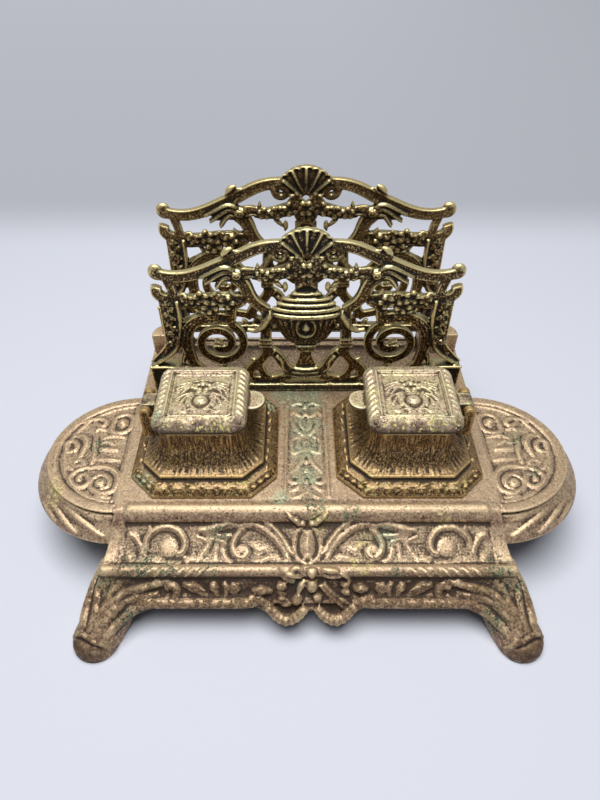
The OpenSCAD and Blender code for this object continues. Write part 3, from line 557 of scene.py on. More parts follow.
def pick_faces(ob, test):
    """Selects the faces whose middle and normal pass the test, and says how many."""
    only(ob)
    bpy.ops.object.mode_set(mode="EDIT")
    bpy.ops.mesh.select_mode(type="FACE")
    bpy.ops.mesh.select_all(action="DESELECT")
    bpy.ops.object.mode_set(mode="OBJECT")
    picked = 0
    for f in ob.data.polygons:
        f.select = bool(test(f.center, f.normal))
        picked += f.select
    bpy.ops.object.mode_set(mode="EDIT")
    return picked


rack_parts = [urn]
rail = block("rack_rail", -68, 68, PANEL_FRONT - 2.4, PANEL_FRONT + 1.7, FOOT_FRONT, FOOT_FRONT + 5)
rack_parts.append(rail)
for z, r in ((0.9, 0.8), (2.7, 0.5), (4.4, 0.8)):
    lines.string([(-68, z, -2.6), (0, z, -2.6), (68, z, -2.6)], r)
for s in (-1, 1):
    x0, x1 = sorted((s * 66, s * 82))
    foot = block("rack_foot", x0, x1, PANEL_FRONT - 4.2, PANEL_FRONT + 4.2, FOOT_FRONT, FOOT_FRONT + 18, 0.8)
    n = pick_faces(foot, lambda c, v: v.y < -0.9)
    bpy.ops.mesh.inset(thickness=0.0016, depth=0)
    bpy.ops.transform.translate(value=(0, 0.0016, 0))
    bpy.ops.object.mode_set(mode="OBJECT")
    rack_parts.append(foot)
    lines.string([(s * 65.6, 18, -4.2), (s * 74, 18.4, -4.2), (s * 82, 18.4, -4.2)], 0.8)
print("foot fields:", n, "face each")

# %% [markdown]
# The web is squeezed in depth, because the straps are flatter than the strings they were rolled
# from. Front and rear panel come from one pattern, so the rear one is a copy with its own mesh.

# %% Rack: melt the front panel and copy it for the rear
web_mesh = web.mesh()
bpy.ops.object.mode_set(mode="EDIT")
bpy.ops.mesh.select_all(action="SELECT")
bpy.ops.transform.resize(value=(1, FLAT, 1), center_override=panel_place(0, 0))
bpy.ops.object.mode_set(mode="OBJECT")
rack_front = join("rack_front_cast", web_mesh, lines.mesh(), *rack_parts)
melt(rack_front, 0.5, most=170000)
only(rack_front)
bpy.ops.object.duplicate()
rack_rear = bpy.context.object
rack_rear.name = rack_rear.data.name = "rack_rear_cast"
bpy.ops.transform.translate(value=(0, (PANEL_REAR - PANEL_FRONT) / 1000, (FOOT_REAR - FOOT_FRONT) / 1000))
bpy.ops.object.transform_apply(location=True)
for piece, node in ((rack_front, "front_rack_panel"), (rack_rear, "rear_rack_panel")):
    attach(piece, "root")
    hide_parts(node)

# %% [markdown]
# ## Rings and skins
# Lids, wells, feet and mouldings are lofts through a row of rings. A grid primitive has one row
# for each ring; its points are laid on the rings, the seam is merged and the ends are filled.

# %% Skin over rings
def square_ring(half, corner, z, soft=True, steps=5):
    """A square outline of half width half, its corners rounded or, if not soft, cut straight."""
    pts = []
    for k, (sx, sy) in enumerate(((1, 1), (-1, 1), (-1, -1), (1, -1))):
        for i in range(steps if soft else 2):
            if soft:
                a = math.radians(90 * k + 90 * i / (steps - 1))
                pts.append((sx * (half - corner) + corner * math.cos(a),
                            sy * (half - corner) + corner * math.sin(a), z))
            else:
                near = (i == 0) == (k % 2 == 0)
                pts.append((sx * (half - (0 if near else corner)), sy * (half - (corner if near else 0)), z))
    return pts


def skin(name, rings, place):
    """A grid whose rows are laid on the rings and rolled up, with both ends filled."""
    bpy.ops.object.select_all(action="DESELECT")
    bpy.ops.mesh.primitive_grid_add(x_subdivisions=len(rings[0]), y_subdivisions=len(rings) - 1,
                                    size=0.1, location=(0, 0, 0))
    ob = bpy.context.object
    ob.name = name
    rolled = [place(*q) for ring in rings for q in list(ring) + [ring[0]]]
    ob.data.vertices.foreach_set("co", np.array(rolled, dtype=np.float32).ravel())
    bpy.ops.object.mode_set(mode="EDIT")
    bpy.ops.mesh.select_all(action="SELECT")
    bpy.ops.mesh.remove_doubles(threshold=1e-6)
    bpy.ops.mesh.select_all(action="DESELECT")
    bpy.ops.mesh.select_mode(type="EDGE")
    bpy.ops.mesh.select_non_manifold()
    bpy.ops.mesh.fill_holes(sides=0)
    bpy.ops.mesh.select_all(action="SELECT")
    bpy.ops.mesh.normals_make_consistent(inside=False)
    bpy.ops.object.mode_set(mode="OBJECT")
    return ob


print("a ring of", len(square_ring(20, 5, 0)), "points")

# %% [markdown]
# ## The lids
# A lid is a low cushion with a sunk square field. In the field a round bud stands under a crown
# of petals, with a winged leaf on each side; slanting gadroons, like the strands of a rope, fill
# the borders left and right, and small blossoms are strewn along the front one. The lid is drawn
# for the right-hand well, x towards the hinge and z from the top of the well.

# %% Lid: the cushion
LID_TOP = 70.0


def lid_place(x, y, z):
    return at(WELL_X + x, WELL_Y + y, LID_TOP + z)


lid_rings = [square_ring(h, c, z) for h, c, z in (
    (20.2, 6, 0.2), (21.0, 6.2, 0.7), (21.7, 6.6, 1.6), (21.7, 6.6, 2.6), (21.2, 6.4, 3.8), (19.8, 6, 5.1),
    (18.0, 5, 6.0), (16.6, 4, 6.3), (15.9, 2.5, 6.3), (15.3, 1.2, 5.4), (14.6, 1, 5.2))]
lid_core = skin("lid_core", lid_rings, lid_place)
carving = Wax("lid_carving", lid_place, sides=2)
FIELD = 5.1


def arc_line(cx, cy, rx, ry, a0, a1, z):
    a = np.radians(np.linspace(a0, a1, 14))
    return np.stack([cx + rx * np.cos(a), cy + ry * np.sin(a), np.full(14, float(z))], axis=1)


def raised(points, z):
    """A smooth line through points in plan, all at height z."""
    flat = through(points, 5)
    return np.column_stack([flat, np.full(len(flat), float(z))])


for h, r in ((14.9, 0.5), (13.6, 0.32)):                 # the double frame of the field
    for x0, y0, x1, y1 in ((-h, -h, h, -h), (h, -h, h, h), (h, h, -h, h), (-h, h, -h, -h)):
        carving.string([(x0, y0, FIELD + 0.25), (x1, y1, FIELD + 0.25)], r)
random.seed(7)
for s in (-1, 1):                                        # the gadroons
    for k in range(9):
        y = -13.6 + 3.4 * k + 1.2
        carving.string([(s * 16.2, y + 1.4, 5.5), (s * 17.4, y + 1.1, 5.4), (s * 19.0, y - 0.2, 4.6),
                        (s * 20.2, y - 1.9, 3.5), (s * 21.0, y - 3.4, 2.4)], [0.7, 1.25, 1.4, 1.2, 0.6])
    carving.string([(s * 15.6, -15, 6.3), (s * 15.6, 15, 6.3)], 0.5)
for k in range(8):                                       # fainter ones along the back
    x = -13.4 + 3.8 * k
    carving.string([(x, 16, 5.8), (x + 0.6, 18.2, 5.2), (x + 1.6, 20.2, 3.9)], [0.6, 1.0, 0.5])
carving.string([(-16, 15.7, 6.1), (16, 15.7, 6.1)], 0.5)
for k in range(46):                                      # blossoms along the front
    x = -18.6 + 37 * ((k * 0.618) % 1)
    y = -16.6 - 4.4 * random.random()
    z = 6.1 - 0.32 * (-16.6 - y) - 0.10 * (-16.6 - y) ** 2
    r = 0.8 + 0.9 * random.random()
    a = random.random() * 6.28
    carving.string([(x - r * math.cos(a), y - r * 0.5 * math.sin(a), z - 0.5), (x, y, z - 0.25),
                    (x + r * math.cos(a), y + r * 0.5 * math.sin(a), z - 0.5)], [r * 0.5, r * 0.85, r * 0.5])
carving.string(raised([(-17, -15.8), (-6, -15.5), (5, -15.9), (17, -15.6)], 6.4), 0.5)
print("borders carved")

# %% [markdown]
# The flower is as flat as a coin's relief. Each petal, berry and leaf is one short string with a
# twin on the other side, the bud is two closed rings, and one petal stands over it in the middle.

# %% Lid: the flower in the field
z = FIELD + 0.35
for r, fat in ((3.1, 1.2), (1.5, 1.5)):
    carving.string(arc_line(0, -4.4, r * 0.7, r * 0.7, 0, 360, z + (0.4 if r < 2 else 0)), fat)
for s in (-1, 1):
    for rx, ry, a0, a1, fat in ((4.9, 4.7, 200, 330, 0.5), (6.4, 6.0, 210, 300, 0.4)):
        carving.string([(s * p[0] * -1, p[1], p[2])
                        for p in arc_line(0, -4.4, rx, ry, a0 - 60, a1 - 90, z)], fat)
    carving.string(raised([(s * 4.4, 0.2), (s * 5.3, -3.6), (s * 3.9, -8.2), (s * 1.4, -9.8)], z), 0.55)
    carving.string(raised([(s * 4.8, 0.6), (s * 7.6, -2.4), (s * 9.4, -6.2)], z), 0.5)
    carving.string(raised([(s * 4.6, 1.2), (s * 8.6, -0.6), (s * 11.4, -3.2)], z), 0.5)
    for k, (x1, y1, x2, y2) in enumerate(((6.4, 7.6, 11.6, 6.0), (7.4, 6.0, 12.0, 3.6), (7.6, 4.6, 11.4, 1.6),
                                          (7.0, 3.4, 9.4, 0.6))):
        carving.string(raised([(s * 4.0, 3.4 + 0.5 * k), (s * x1, y1), (s * x2, y2)], z + 0.15),
                       swell(11, 0.5, 0.35, 1.5))
    for x, y, r in ((1.6, 3.2, 1.3), (3.6, 4.2, 1.2), (4.6, 6.2, 1.0), (2.6, 6.4, 1.1), (0.9, 7.6, 0.9)):
        carving.string([(s * x - 0.1, y, z - 0.2), (s * x, y, z + 0.35), (s * x + 0.1, y, z + 0.6)],
                       [r, r * 0.9, r * 0.5])
    for k in range(4):
        a = math.radians(90 - 15 * (k + 0.4))
        carving.string([(s * 10.4 * math.cos(a), 0.4 + 9.6 * math.sin(a), z),
                        (s * 9.6 * math.cos(a), 0.4 + 10.4 * math.sin(a), z + 0.1)], 0.55)
    carving.string(raised([(s * 2.0, -10.4), (s * 4.6, -9.8), (s * 7.2, -11.2), (s * 9.4, -10)], z),
                   swell(16, 0.6, 0.3))
carving.string([(0, 5.0, z), (0, 6.4, z + 0.4), (0, 8.2, z)], [1.0, 1.3, 0.8])
print("flower carved")

# %% [markdown]
# Under the lid a rim drops into the well, on its inner side a flat tab is lifted with the thumb,
# and on its outer side a tongue ends in the knuckle that turns on the pin.

# %% Lid: rim, tab and knuckle
PIN_X = 26.5


def disc(name, r, depth, place_at, axis="Z", bevel=0.5):
    """A round plate with softened edges, its axis along Z or Y."""
    bpy.ops.object.select_all(action="DESELECT")
    turn = (math.pi / 2, 0, 0) if axis == "Y" else (0, 0, 0)
    bpy.ops.mesh.primitive_cylinder_add(vertices=40, radius=r / 1000, depth=depth / 1000,
                                        location=place_at, rotation=turn)
    ob = bpy.context.object
    bpy.ops.object.transform_apply(location=True, rotation=True, scale=True)
    ob.name = name
    bpy.ops.object.mode_set(mode="EDIT")
    bpy.ops.mesh.select_all(action="SELECT")
    bpy.ops.mesh.bevel(offset=bevel / 1000, segments=2, affect="EDGES", offset_type="OFFSET")
    bpy.ops.object.mode_set(mode="OBJECT")
    return ob


rim = square_ring(14.9, 4, -0.7, steps=6)
carving.string(rim + rim[:1], 0.9)
tab = disc("lid_tab", 6.2, 1.9, lid_place(-23.2, 0, 1.3))
knuckle = disc("lid_knuckle", 2.7, 8, lid_place(PIN_X, 0, 0), "Y", 0.3)
tongue = block("lid_tongue", WELL_X + 20, WELL_X + PIN_X, WELL_Y - 4, WELL_Y + 4, LID_TOP + 0.1,
               LID_TOP + 2.6, 0.4)
lid_right = join("lid_right_cast", lid_core, carving.mesh(), tab, knuckle, tongue)
melt(lid_right, 0.34, most=80000)


def mirrored(ob, name):
    """A copy with its own mesh on the other side of the middle."""
    only(ob)
    bpy.ops.object.duplicate()
    twin = bpy.context.object
    twin.name = twin.data.name = name
    bpy.ops.object.mode_set(mode="EDIT")
    bpy.ops.mesh.select_all(action="SELECT")
    bpy.ops.transform.resize(value=(-1, 1, 1), center_override=(0, 0, 0))
    bpy.ops.mesh.flip_normals()
    bpy.ops.object.mode_set(mode="OBJECT")
    return twin


lid_left = mirrored(lid_right, "lid_left_cast")
for piece, side in ((lid_right, "right"), (lid_left, "left")):
    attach(piece, side + "_lid")
    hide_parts(side + "_lid")
print("lids", [round(v * 1000, 1) for v in lid_right.dimensions])

# %% [markdown]
# ## The wells
# A well is eight-sided: a broad base moulding, a lip, a deep cove up to the neck, and the square
# hole for the pot. All of it is one skin over eight-cornered rings that goes up outside, over the
# top and down inside. Fine veins run down the cove, leaves lie on the sloping base.

# %% Well: the body
def well_place(x, y, z):
    return at(WELL_X + x, WELL_Y + y, z)


NECK, FOOT = 19.8, 28.0
cove = []
for k in range(9):
    t = math.radians(90 * k / 8)
    h = NECK + (FOOT - NECK) * (1 - math.sin(t))
    cove.append((h, mix(8.6, 5.6, math.sin(t)), 49.9 + 11.7 * (1 - math.cos(t))))
well_rings = [square_ring(h, c, z, soft=False) for h, c, z in (
    [(34.3, 12, 42.0), (35.0, 12.1, 42.4), (35.0, 12.1, 43.2), (34.7, 12, 43.7), (34.2, 11.9, 43.9),
     (33.9, 11.8, 44.3), (32.2, 10.9, 46.6), (31.7, 10.6, 47.0), (31.0, 10.3, 47.1), (28.7, 9.4, 47.5),
     (27.7, 9.1, 47.5), (27.7, 9.1, 48.1), (28.6, 9.4, 48.7), (28.5, 9.3, 49.5)] + cove
    + [(NECK, 5.6, 66.0), (NECK, 5.6, 69.2), (19.4, 5.5, 69.8), (17.6, 3.2, 69.9),
       (17.0, 3.0, 69.5), (17.0, 3.0, 44.4), (16.4, 3.0, 44.0)])]
well_core = skin("well_core", well_rings, well_place)
print("well skin of", len(well_rings), "rings")

# %% Well: veins and leaves
veins = Wax("well_veins", well_place, sides=2)
random.seed(11)
for turn in range(4):
    a = math.radians(90 * turn)
    ca, sa = round(math.cos(a)), round(math.sin(a))

    def turned(x, y, z):
        return (x * ca - y * sa, x * sa + y * ca, z)

    for k in range(30):                     # veins down each broad face, facing -y before it turns
        u = (k - 14.5) / 15 + 0.03 * random.random()
        first, last = random.choice((0, 1, 2)), random.choice((6, 7, 8, 9))
        line = [turned(u * (h - c), -h + 0.12, z)
                for h, c, z in (cove + [(NECK, 5.6, 65.5)])[first:last + 1]]
        veins.string(line, swell(len(line), 0.3, 0.14, 1.6 + random.random()))
    for k in (-1, 0, 1):                    # and three down each cut corner
        line = []
        for h, c, z in cove[1:8:2] + [(NECK, 5.6, 64.5)]:
            m = h - c / 2 + 0.1
            line.append(turned(m + k * c * 0.22, -m + k * c * 0.22, z))
        veins.string(line[::-1], 0.3)
    for k in range(6):                      # half-round leaves along the sloping edge of the base
        x = (k - 2.5) * 7.4
        edge = [turned(x + 3.5 * math.cos(b), -33.9 + 1.5 * math.sin(b), 44.4 + 1.9 * math.sin(b))
                for b in np.linspace(0, math.pi, 9)]
        veins.string(edge, 0.5)
        veins.string([turned(x - 1.8, -33.3, 44.8), turned(x, -33.0, 45.1), turned(x + 1.8, -33.3, 44.8)],
                     [0.6, 1.1, 0.6])
    for k in range(8):                      # leaves strewn on the slope
        x = -24 + 48 * (k + random.random() * 0.6) / 8
        y = -30.9 + 1.2 * random.random()
        b = random.random() * 3.1
        z = 47.2 + 0.1 * (31 + y)
        veins.string([turned(x - 2.2 * math.cos(b), y - 0.8 * math.sin(b), z - 0.1), turned(x, y, z + 0.15),
                      turned(x + 2.2 * math.cos(b), y + 0.8 * math.sin(b), z - 0.1)], [0.25, 0.75, 0.25])
    m = 27.3
    for k in (-1, 0, 1):
        veins.string([turned(m + k * 3 - 1.2, -m + k * 3 - 1.2, 45.3),
                      turned(m + k * 3 + 0.4, -m + k * 3 - 0.4, 45.5),
                      turned(m + k * 3 + 1.2, -m + k * 3 + 1.2, 45.3)], [0.5, 0.9, 0.5])
print("veins drawn on four faces and four corners")

# %% [markdown]
# Two lugs on the outer side carry the hinge pin, and a web runs down from each.

# %% Well: the lugs
lug_parts = []
for s in (-1, 1):
    y0, y1 = sorted((s * 4.3, s * 7.9))
    wy = WELL_Y
    lug_parts.append(disc("well_lug", 2.7, 3.6, well_place(PIN_X, (y0 + y1) / 2, LID_TOP), "Y", 0.3))
    lug_parts.append(block("well_web", WELL_X + 19.6, WELL_X + PIN_X + 2.7, wy + y0, wy + y1, 55.2, 67.8,
                           0.5))
    lug_parts.append(block("well_post", WELL_X + 24.2, WELL_X + PIN_X + 2.7, wy + y0, wy + y1, 67, 70, 0.4))
well_right = join("well_right_cast", well_core, veins.mesh(), *lug_parts)
melt(well_right, 0.45, most=110000)
well_left = mirrored(well_right, "well_left_cast")
for piece, side in ((well_right, "right"), (well_left, "left")):
    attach(piece, "root")
    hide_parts(side + "_well_housing")
print("wells", [round(v * 1000, 1) for v in well_right.dimensions])
# %% [markdown]
# ## The base casting
# The base is one large hollow casting. Its deck is a plate that swells into a half-round wing on
# each side; below the edge a skirt flares out. The front is a run of mouldings: a roll, a hollow
# frieze, a lower roll, an apron and a rib, wider at the feet than at the deck. It is built from
# lofts, and each bit of ornament is laid on them with a function that maps it to the surface.

# %% Base: deck, wings and skirts
carve = Wax("base_carving", at, sides=2)
bosses = Wax("base_bosses", at, sides=6)
WING_Y, WING_R = 36.5, 37.5  # middle and radius of the half-round wings
FLARE = 8.8                  # how far a wing's skirt flares out


def ogee(t, flare):
    return (flare * (1 - math.cos(math.pi * t)) / 2, mix(40, 30, t))


def skirt_section(flare, inner):
    """Closed section of a skirt, outward distance against height."""
    outer = [ogee(t, flare) for t in np.linspace(0.12, 1, 9)]
    return ([(inner, 38.6), (inner, 41.8), (-0.5, 42.0), (-0.1, 41.8), (0.0, 41.2), (-0.2, 40.9),
             (-2.2, 40.7), (-2.3, 39.4)]
            + outer + [(flare, 29.3), (flare - 0.4, 29.0), (flare - 2.4, 29.0)]
            + [(r - 2.6, z) for r, z in outer[::-1]])


def around(section, station, more=0.0, last=1.0):
    """The section set up at a station (x, y, outward x, outward y); more widens all but its lower lip."""
    x, y, dx, dy = station
    wide = [r + more * abs(dx) * min(max((last - r) / FLARE, 0), 1) for r, z in section]
    return [(x + dx * w, y + dy * r, z) for w, (r, z) in zip(wide, section)]


def bend(cx, cy, r, a0, a1, n):
    return [(cx + r * math.cos(a), cy + r * math.sin(a), math.cos(a), math.sin(a))
            for a in np.radians(np.linspace(a0, a1, n))]


outline = [(89, 3), (89, 115)] + [q[:2] for q in bend(80, 115, 9, 8, 90, 7)]
outline += [(-x, y) for x, y in outline[::-1]]
base_parts = [skin("deck", [[(x, y, z) for x, y in outline] for z in (39, 42)], at)]
wing_section = [(r + WING_R, z) for r, z in skirt_section(FLARE, -3.0)[2:]]
wing_section = ([(0.02, 39), (34.4, 39)] + wing_section[::-1][:-1]
                + [(36.4, 42), (33.4, 42.0), (32.8, 41.8), (32.3, 41.2), (0.02, 41.2)])
for s in (-1, 1):
    turns = bend(s * 89, WING_Y, 0, 90 - 90 * s - 90, 90 - 90 * s + 90, 61)
    base_parts.append(skin("wing", [around(wing_section, q, 1.9, WING_R + FLARE) for q in turns], at))
run = [(89, y, 1, 0) for y in (69, 115)] + bend(80, 115, 9, 4, 90, 9)
run += [(-x, y, -dx, dy) for x, y, dx, dy in run[::-1]]
base_parts.append(skin("skirts", [around(skirt_section(3, -3.0), q) for q in run], at))
print("deck, two wings and the skirts:", sum(len(p.data.polygons) for p in base_parts), "faces")


# %% [markdown]
# The front is one moulded band. It could be swept along a straight rail, but it widens towards
# the feet and its rib fades in the middle, so it is a loft through many sections set across it.
# Two curves, one for the hollow frieze and one for the apron, also carry the ornament later.

# %% Base: the front mouldings
def frieze_at(t):
    return (-3 - 16 * t, 36 - 8 * math.sin(math.pi / 2 * t))


def apron_at(t):
    bow = math.sin(math.pi * min(max(t, 0), 1))
    return (-23.2 - 8.4 * t + 1.2 * bow, 24.2 - 10.2 * t + 0.8 * bow)


def on_slope(curve, x, t, h):
    """A point x along and t down the slope, h above its surface."""
    (y0, z0), (y1, z1) = curve(t - 0.01), curve(t + 0.01)
    d = math.hypot(y1 - y0, z1 - z0)
    y, z = curve(t)
    return (x, y + h * (z1 - z0) / d, z - h * (y1 - y0) / d)


def front_at(k):
    """The closed section of the front, k from -1 at one end to 1 at the other, where a plain band is."""
    band = min(max((abs(k) - 0.93) / 0.02, 0), 1)
    rib = 2.9 * min(max((0.86 - abs(k)) / 0.12, 0.1), 1) * min(max((abs(k) - 0.2) / 0.06, 0.2), 1)
    roll = ((6, 41.9), (4.6, 42.0), (3.6, 42.5), (2.2, 42.8), (0.6, 42.5), (-0.9, 41.6), (-2.1, 40.3),
            (-2.9, 38.8), (-3.1, 37.3), (-2.6, 36.2))
    soft = ((6, 41.9), (4.6, 42.0), (3.4, 42.1), (2.0, 42.1), (0.6, 41.8), (-0.6, 41.0), (-1.7, 39.9),
            (-2.7, 38.7), (-3.5, 37.6), (-3.9, 36.8))
    line = [(mix(p[0], q[0], band), mix(p[1], q[1], band)) for p, q in zip(roll, soft)]
    line += [on_slope(frieze_at, 0, t, 0.9 * band)[1:] for t in np.linspace(0.05, 0.94, 9)]
    line += [(-21 - 2.9 * math.cos(a), 25.8 + 2.9 * math.sin(a))
             for a in np.radians(np.linspace(138, -25, 10))]
    line += [apron_at(t) for t in np.linspace(0.08, 0.70, 6)]
    line += [(-30.9 - rib * math.cos(a), 15.4 + rib * math.sin(a))
             for a in np.radians(np.linspace(75, -70, 7))]
    inside = [apron_at(t) for t in np.linspace(1, 0, 6)] + [frieze_at(t) for t in np.linspace(1, 0, 9)]
    return line + [(y + 2.3, z - 2.3) for y, z in inside] + [(3, 38.6), (6, 39)]


def half_width(y):
    return 87 + 5.5 * (6 - y) / 25 if y > -19 else 92.5 + 5.5 * (-19 - y) / 15.8


stations = [-1, -0.97, -0.95, -0.93, *np.linspace(-0.91, 0.91, 45), 0.93, 0.95, 0.97, 1]
base_parts.append(skin("front", [[(k * half_width(y), y, z) for y, z in front_at(k)] for k in stations], at))
print("front section of", len(front_at(0)), "points")

# %% [markdown]
# The front feet spread outwards under the corners. Each is a loft along its own length, with an
# arched section that broadens into a round toe; ribs of acanthus run down to it, and a wavy lip
# stands over the smooth end. The rear feet are short and plain.

# %% Base: the feet
SPLAY = math.radians(23)
FOOT_AT = (84.2, -15.0)


def foot_shape(u):
    """Half width, underside and top of a front foot at the distance u along it."""
    t = min(max((u + 4) / 37.5, 0), 1)
    low = 17 * (1 - min(max((u + 2) / 26.5, 0), 1)) ** 1.2
    top = 9.8 + 18.6 * (1 - t) ** 1.05
    half = 12.4 - 2.0 * min(max(u / 22, 0), 1)
    if u > 28.6:
        half = 10.4 * math.sqrt(1 - min((u - 28.6) / 10.7, 0.999) ** 2.2)
    if u > 33:                                                           # the smooth toe below the lip
        top = 0.3 + 7.9 * math.sqrt(1 - min((u - 33) / 6.3, 0.999) ** 2.4)
    return half, low, top


def on_foot(s, u, v):
    """A point of the foot on side s: u along it, v across (+1 is its outer edge)."""
    half, low, top = foot_shape(u)
    w = v * half
    z = low + (top - low) * max(1 - abs(v) ** 3, 0) ** 0.4
    x = FOOT_AT[0] + u * math.sin(SPLAY) + w * math.cos(SPLAY)
    y = FOOT_AT[1] - u * math.cos(SPLAY) + w * math.sin(SPLAY)
    return (s * x, y, z)


reach = [*np.linspace(-5, 28, 18), 28.9, 30, 31, 32, 32.8, 33.2,
         *[28.6 + 10.7 * math.sin(a) for a in np.linspace(0.52, 1.56, 9)]]
for s in (-1, 1):
    rings = []
    for u in reach:
        arch = [on_foot(s, u, v) for v in np.sin(np.linspace(-math.pi / 2, math.pi / 2, 25))]
        low = foot_shape(u)[1]
        rings.append(arch + [(x, y, low) for x, y, z in arch[::-1]])
        rings[-1][0], rings[-1][24] = [(x, y, low + 0.4) for x, y, z in (arch[0], arch[24])]
    base_parts.append(skin("front_foot", rings, at))
    rings = []
    for z in (40, 36, 31, 26, 21, 16, 12, 9, 7.2, 5, 3, 1, 0):
        t = (40 - z) / 33
        u1 = 20.4 * t * t if z > 7.2 else 19.2 + math.sqrt(max(25 - (z - 5) ** 2, 0))
        leg = [(u1 - 7 + 7 * math.cos(a), 7 * math.sin(a)) for a in np.radians(np.linspace(-90, 90, 13))]
        leg = [(u1 - 9, -6.6)] + leg + [(u1 - 9, 6.6)]
        rings.append([(s * (80 + (u - v) * 0.7071), 111 + (u + v) * 0.7071, z) for u, v in leg])
    base_parts.append(skin("rear_foot", rings, at))
print("four feet, front reach", round(math.cos(SPLAY) * 39.3, 1), "mm")

# %% [markdown]
# Behind the wells a moulded lip runs across, and at its ends two blocks with rounded shoulders
# lift the rear panel. Under the deck there are round bosses for the screws.

# %% Base: lip, blocks and bosses
for s in (-1, 1):
    shoulder = [(66, 112.4), (88.2, 112.4), (88.2, 115.2), *[q[:2] for q in bend(80, 115, 8.2, 6, 90, 7)],
                (66, 123.2)]
    levels = ((1, 41.5), (1, 53.8), (0.985, 54.2), (0.96, 54.4))         # scale of the outline, height
    base_parts.append(skin("corner_block", [[(s * (77 + (x - 77) * k), 118 + (y - 118) * k, z)
                                             for x, y in shoulder] for k, z in levels], at))
    for x, y in ((72, 81.9), (72, 118), (49, 16.6), (49, 66.6)):
        base_parts.append(disc("boss", 5, 3, at(s * x, y, 38.5)))
base_parts.append(block("rear_lip", -72, 72, 116.6, 122.6, 41.5, 44.2, 0.3))
for y, z, r in ((121.4, 43.9, 1.5), (116.8, 42.5, 0.9), (118.6, 44.3, 0.5)):
    carve.string([(-72, y, z), (72, y, z)], r)
print("lip and blocks set, parts so far", len(base_parts))


# %% [markdown]
# ## Ornament of the base
# Apart from the ribbon, the ornament is the same on both halves. A line of it is drawn once as
# (x, t) on the hollow of the frieze or on the apron, or as (x, y) on the flat, and laid left and
# right.

# %% Base: the frieze
SINK = 0.52                  # how much of its radius a string of low relief is sunk into its ground
WIDEN = 1.42                 # what is sunk is rolled this much fatter


def fitted(radii, n):
    """The radii spread over n points, widened because the strings are sunk."""
    return WIDEN * spread(np.atleast_1d(radii), n)


def lay(curve, points, radii, h, sides=(-1, 1)):
    """Lay a line of (x, t) points in low relief on a slope, on both halves."""
    line = through(points, 5)
    radii = fitted(radii, len(line))
    for s in sides:
        carve.string([on_slope(curve, s * x, t, h - SINK * r) for (x, t), r in zip(line, radii)], radii)


def boss(place, r, height):
    """A round boss that stands on its ground."""
    bosses.string([place(-1.0), place(height - 0.4), place(height)], [r, r, r * 0.72])


for points, radii, h in (
        ([(73.6, .62), (73.5, .37), (70.4, .17), (65.7, .08), (60, .13), (56.5, .33), (55.9, .51),
          (57.2, .67), (59.5, .7)],
         [1.0, 1.3, 1.35, 1.3, 1.2, 1.0], 0.3),
        ([(74.8, .73), (76.1, .51), (78.7, .3), (81.8, .25)], [0.9, 1.1, 1.2, 0.7], 0.2),
        ([(74.3, .65), (73.9, .4), (72.4, .2), (72.2, .02)], [0.7, 0.9, 0.8, 0.4], 0.1),
        ([(50.2, .15), (43.5, .11), (36.8, .02), (31.1, .03)], [1.0, 1.8, 1.7, 0.8], 0.4),
        ([(47.5, .24), (42.1, .25), (37.4, .28), (34.4, .25)], [0.5, 0.8, 0.7, 0.3], 0.2),
        ([(46, .33), (41.4, .37), (38, .42)], [0.4, 0.7, 0.3], 0.2),
        ([(50.6, .3), (47.3, .36), (44.1, .46)], [0.4, 0.6, 0.3], 0.2),
        ([(32.7, .05), (24.7, .02), (17.9, .2), (12.5, .47), (8.4, .86)], [1.0, 1.5, 1.5, 1.2, 0.7], 0.3),
        ([(29.4, .1), (32.7, .3), (33.9, .51), (32.8, .71), (29.7, .81), (27.2, .67), (28.6, .55),
          (30.9, .56)],
         [1.2, 1.3, 1.2, 1.1, 0.9], 0.25),
        ([(41.4, .37), (41.6, .58), (42, .86)], [0.5, 0.7, 0.5], 0.1),
        ([(44.1, .4), (46.6, .62), (50.2, .88)], [0.6, 0.9, 0.6], 0.1),
        ([(54.8, .94), (52, .86), (49.5, .9)], [0.5, 0.9, 0.5], 0.1),
        ([(56.4, .78), (53.6, .83), (51, .76)], [0.3, 0.8, 0.3], 0.1),
        ([(21.1, .9), (17.8, .81), (13.2, .79)], [0.6, 1.1, 0.5], 0.1),
        ([(24.4, .5), (21.8, .62), (19.6, .56)], [0.4, 0.9, 0.4], 0.1),
        ([(38.6, .6), (37.4, .8), (34.6, .93)], [0.4, 0.8, 0.5], 0.1),
        ([(68.5, .9), (62, .95), (57, .97)], [0.4, 0.8, 0.4], 0.0),
        ([(83.6, .02), (84.4, .5), (85.2, .97)], [0.45], 0.0)):
    lay(frieze_at, points, radii, h)
print("scrolls of the frieze laid")

# %% Base: bosses and oval of the frieze
for s in (-1, 1):                                                        # bosses in the rings
    boss(lambda h: on_slope(frieze_at, s * 63.1, 0.56, h), 4.2, 0.8)
    boss(lambda h: on_slope(frieze_at, s * 30.2, 0.6, h), 1.9, 0.9)
    boss(lambda h: on_slope(frieze_at, s * 80.0, 0.79, h), 1.9, 0.7)
for k in range(7):                                                       # the ribbed band
    x0, t0 = mix(18.2, 7.6, (k / 6) ** 0.8), 0.02 + 0.06 * k + 0.008 * k * k
    lay(frieze_at, [(x0 - 1.6, t0 + 0.07), (x0 + 2.2, t0 - 0.1)], [0.5, 0.8, 0.5], 0.9)
oval = np.linspace(0.12, 0.9, 12)
carve.string([on_slope(frieze_at, 0, t, 1.9 - 4.7 * math.sqrt(max(1 - ((t - 0.51) / 0.44) ** 2, 0.02)))
              for t in oval],
             [4.7 * math.sqrt(max(1 - ((t - 0.51) / 0.44) ** 2, 0.02)) for t in oval])
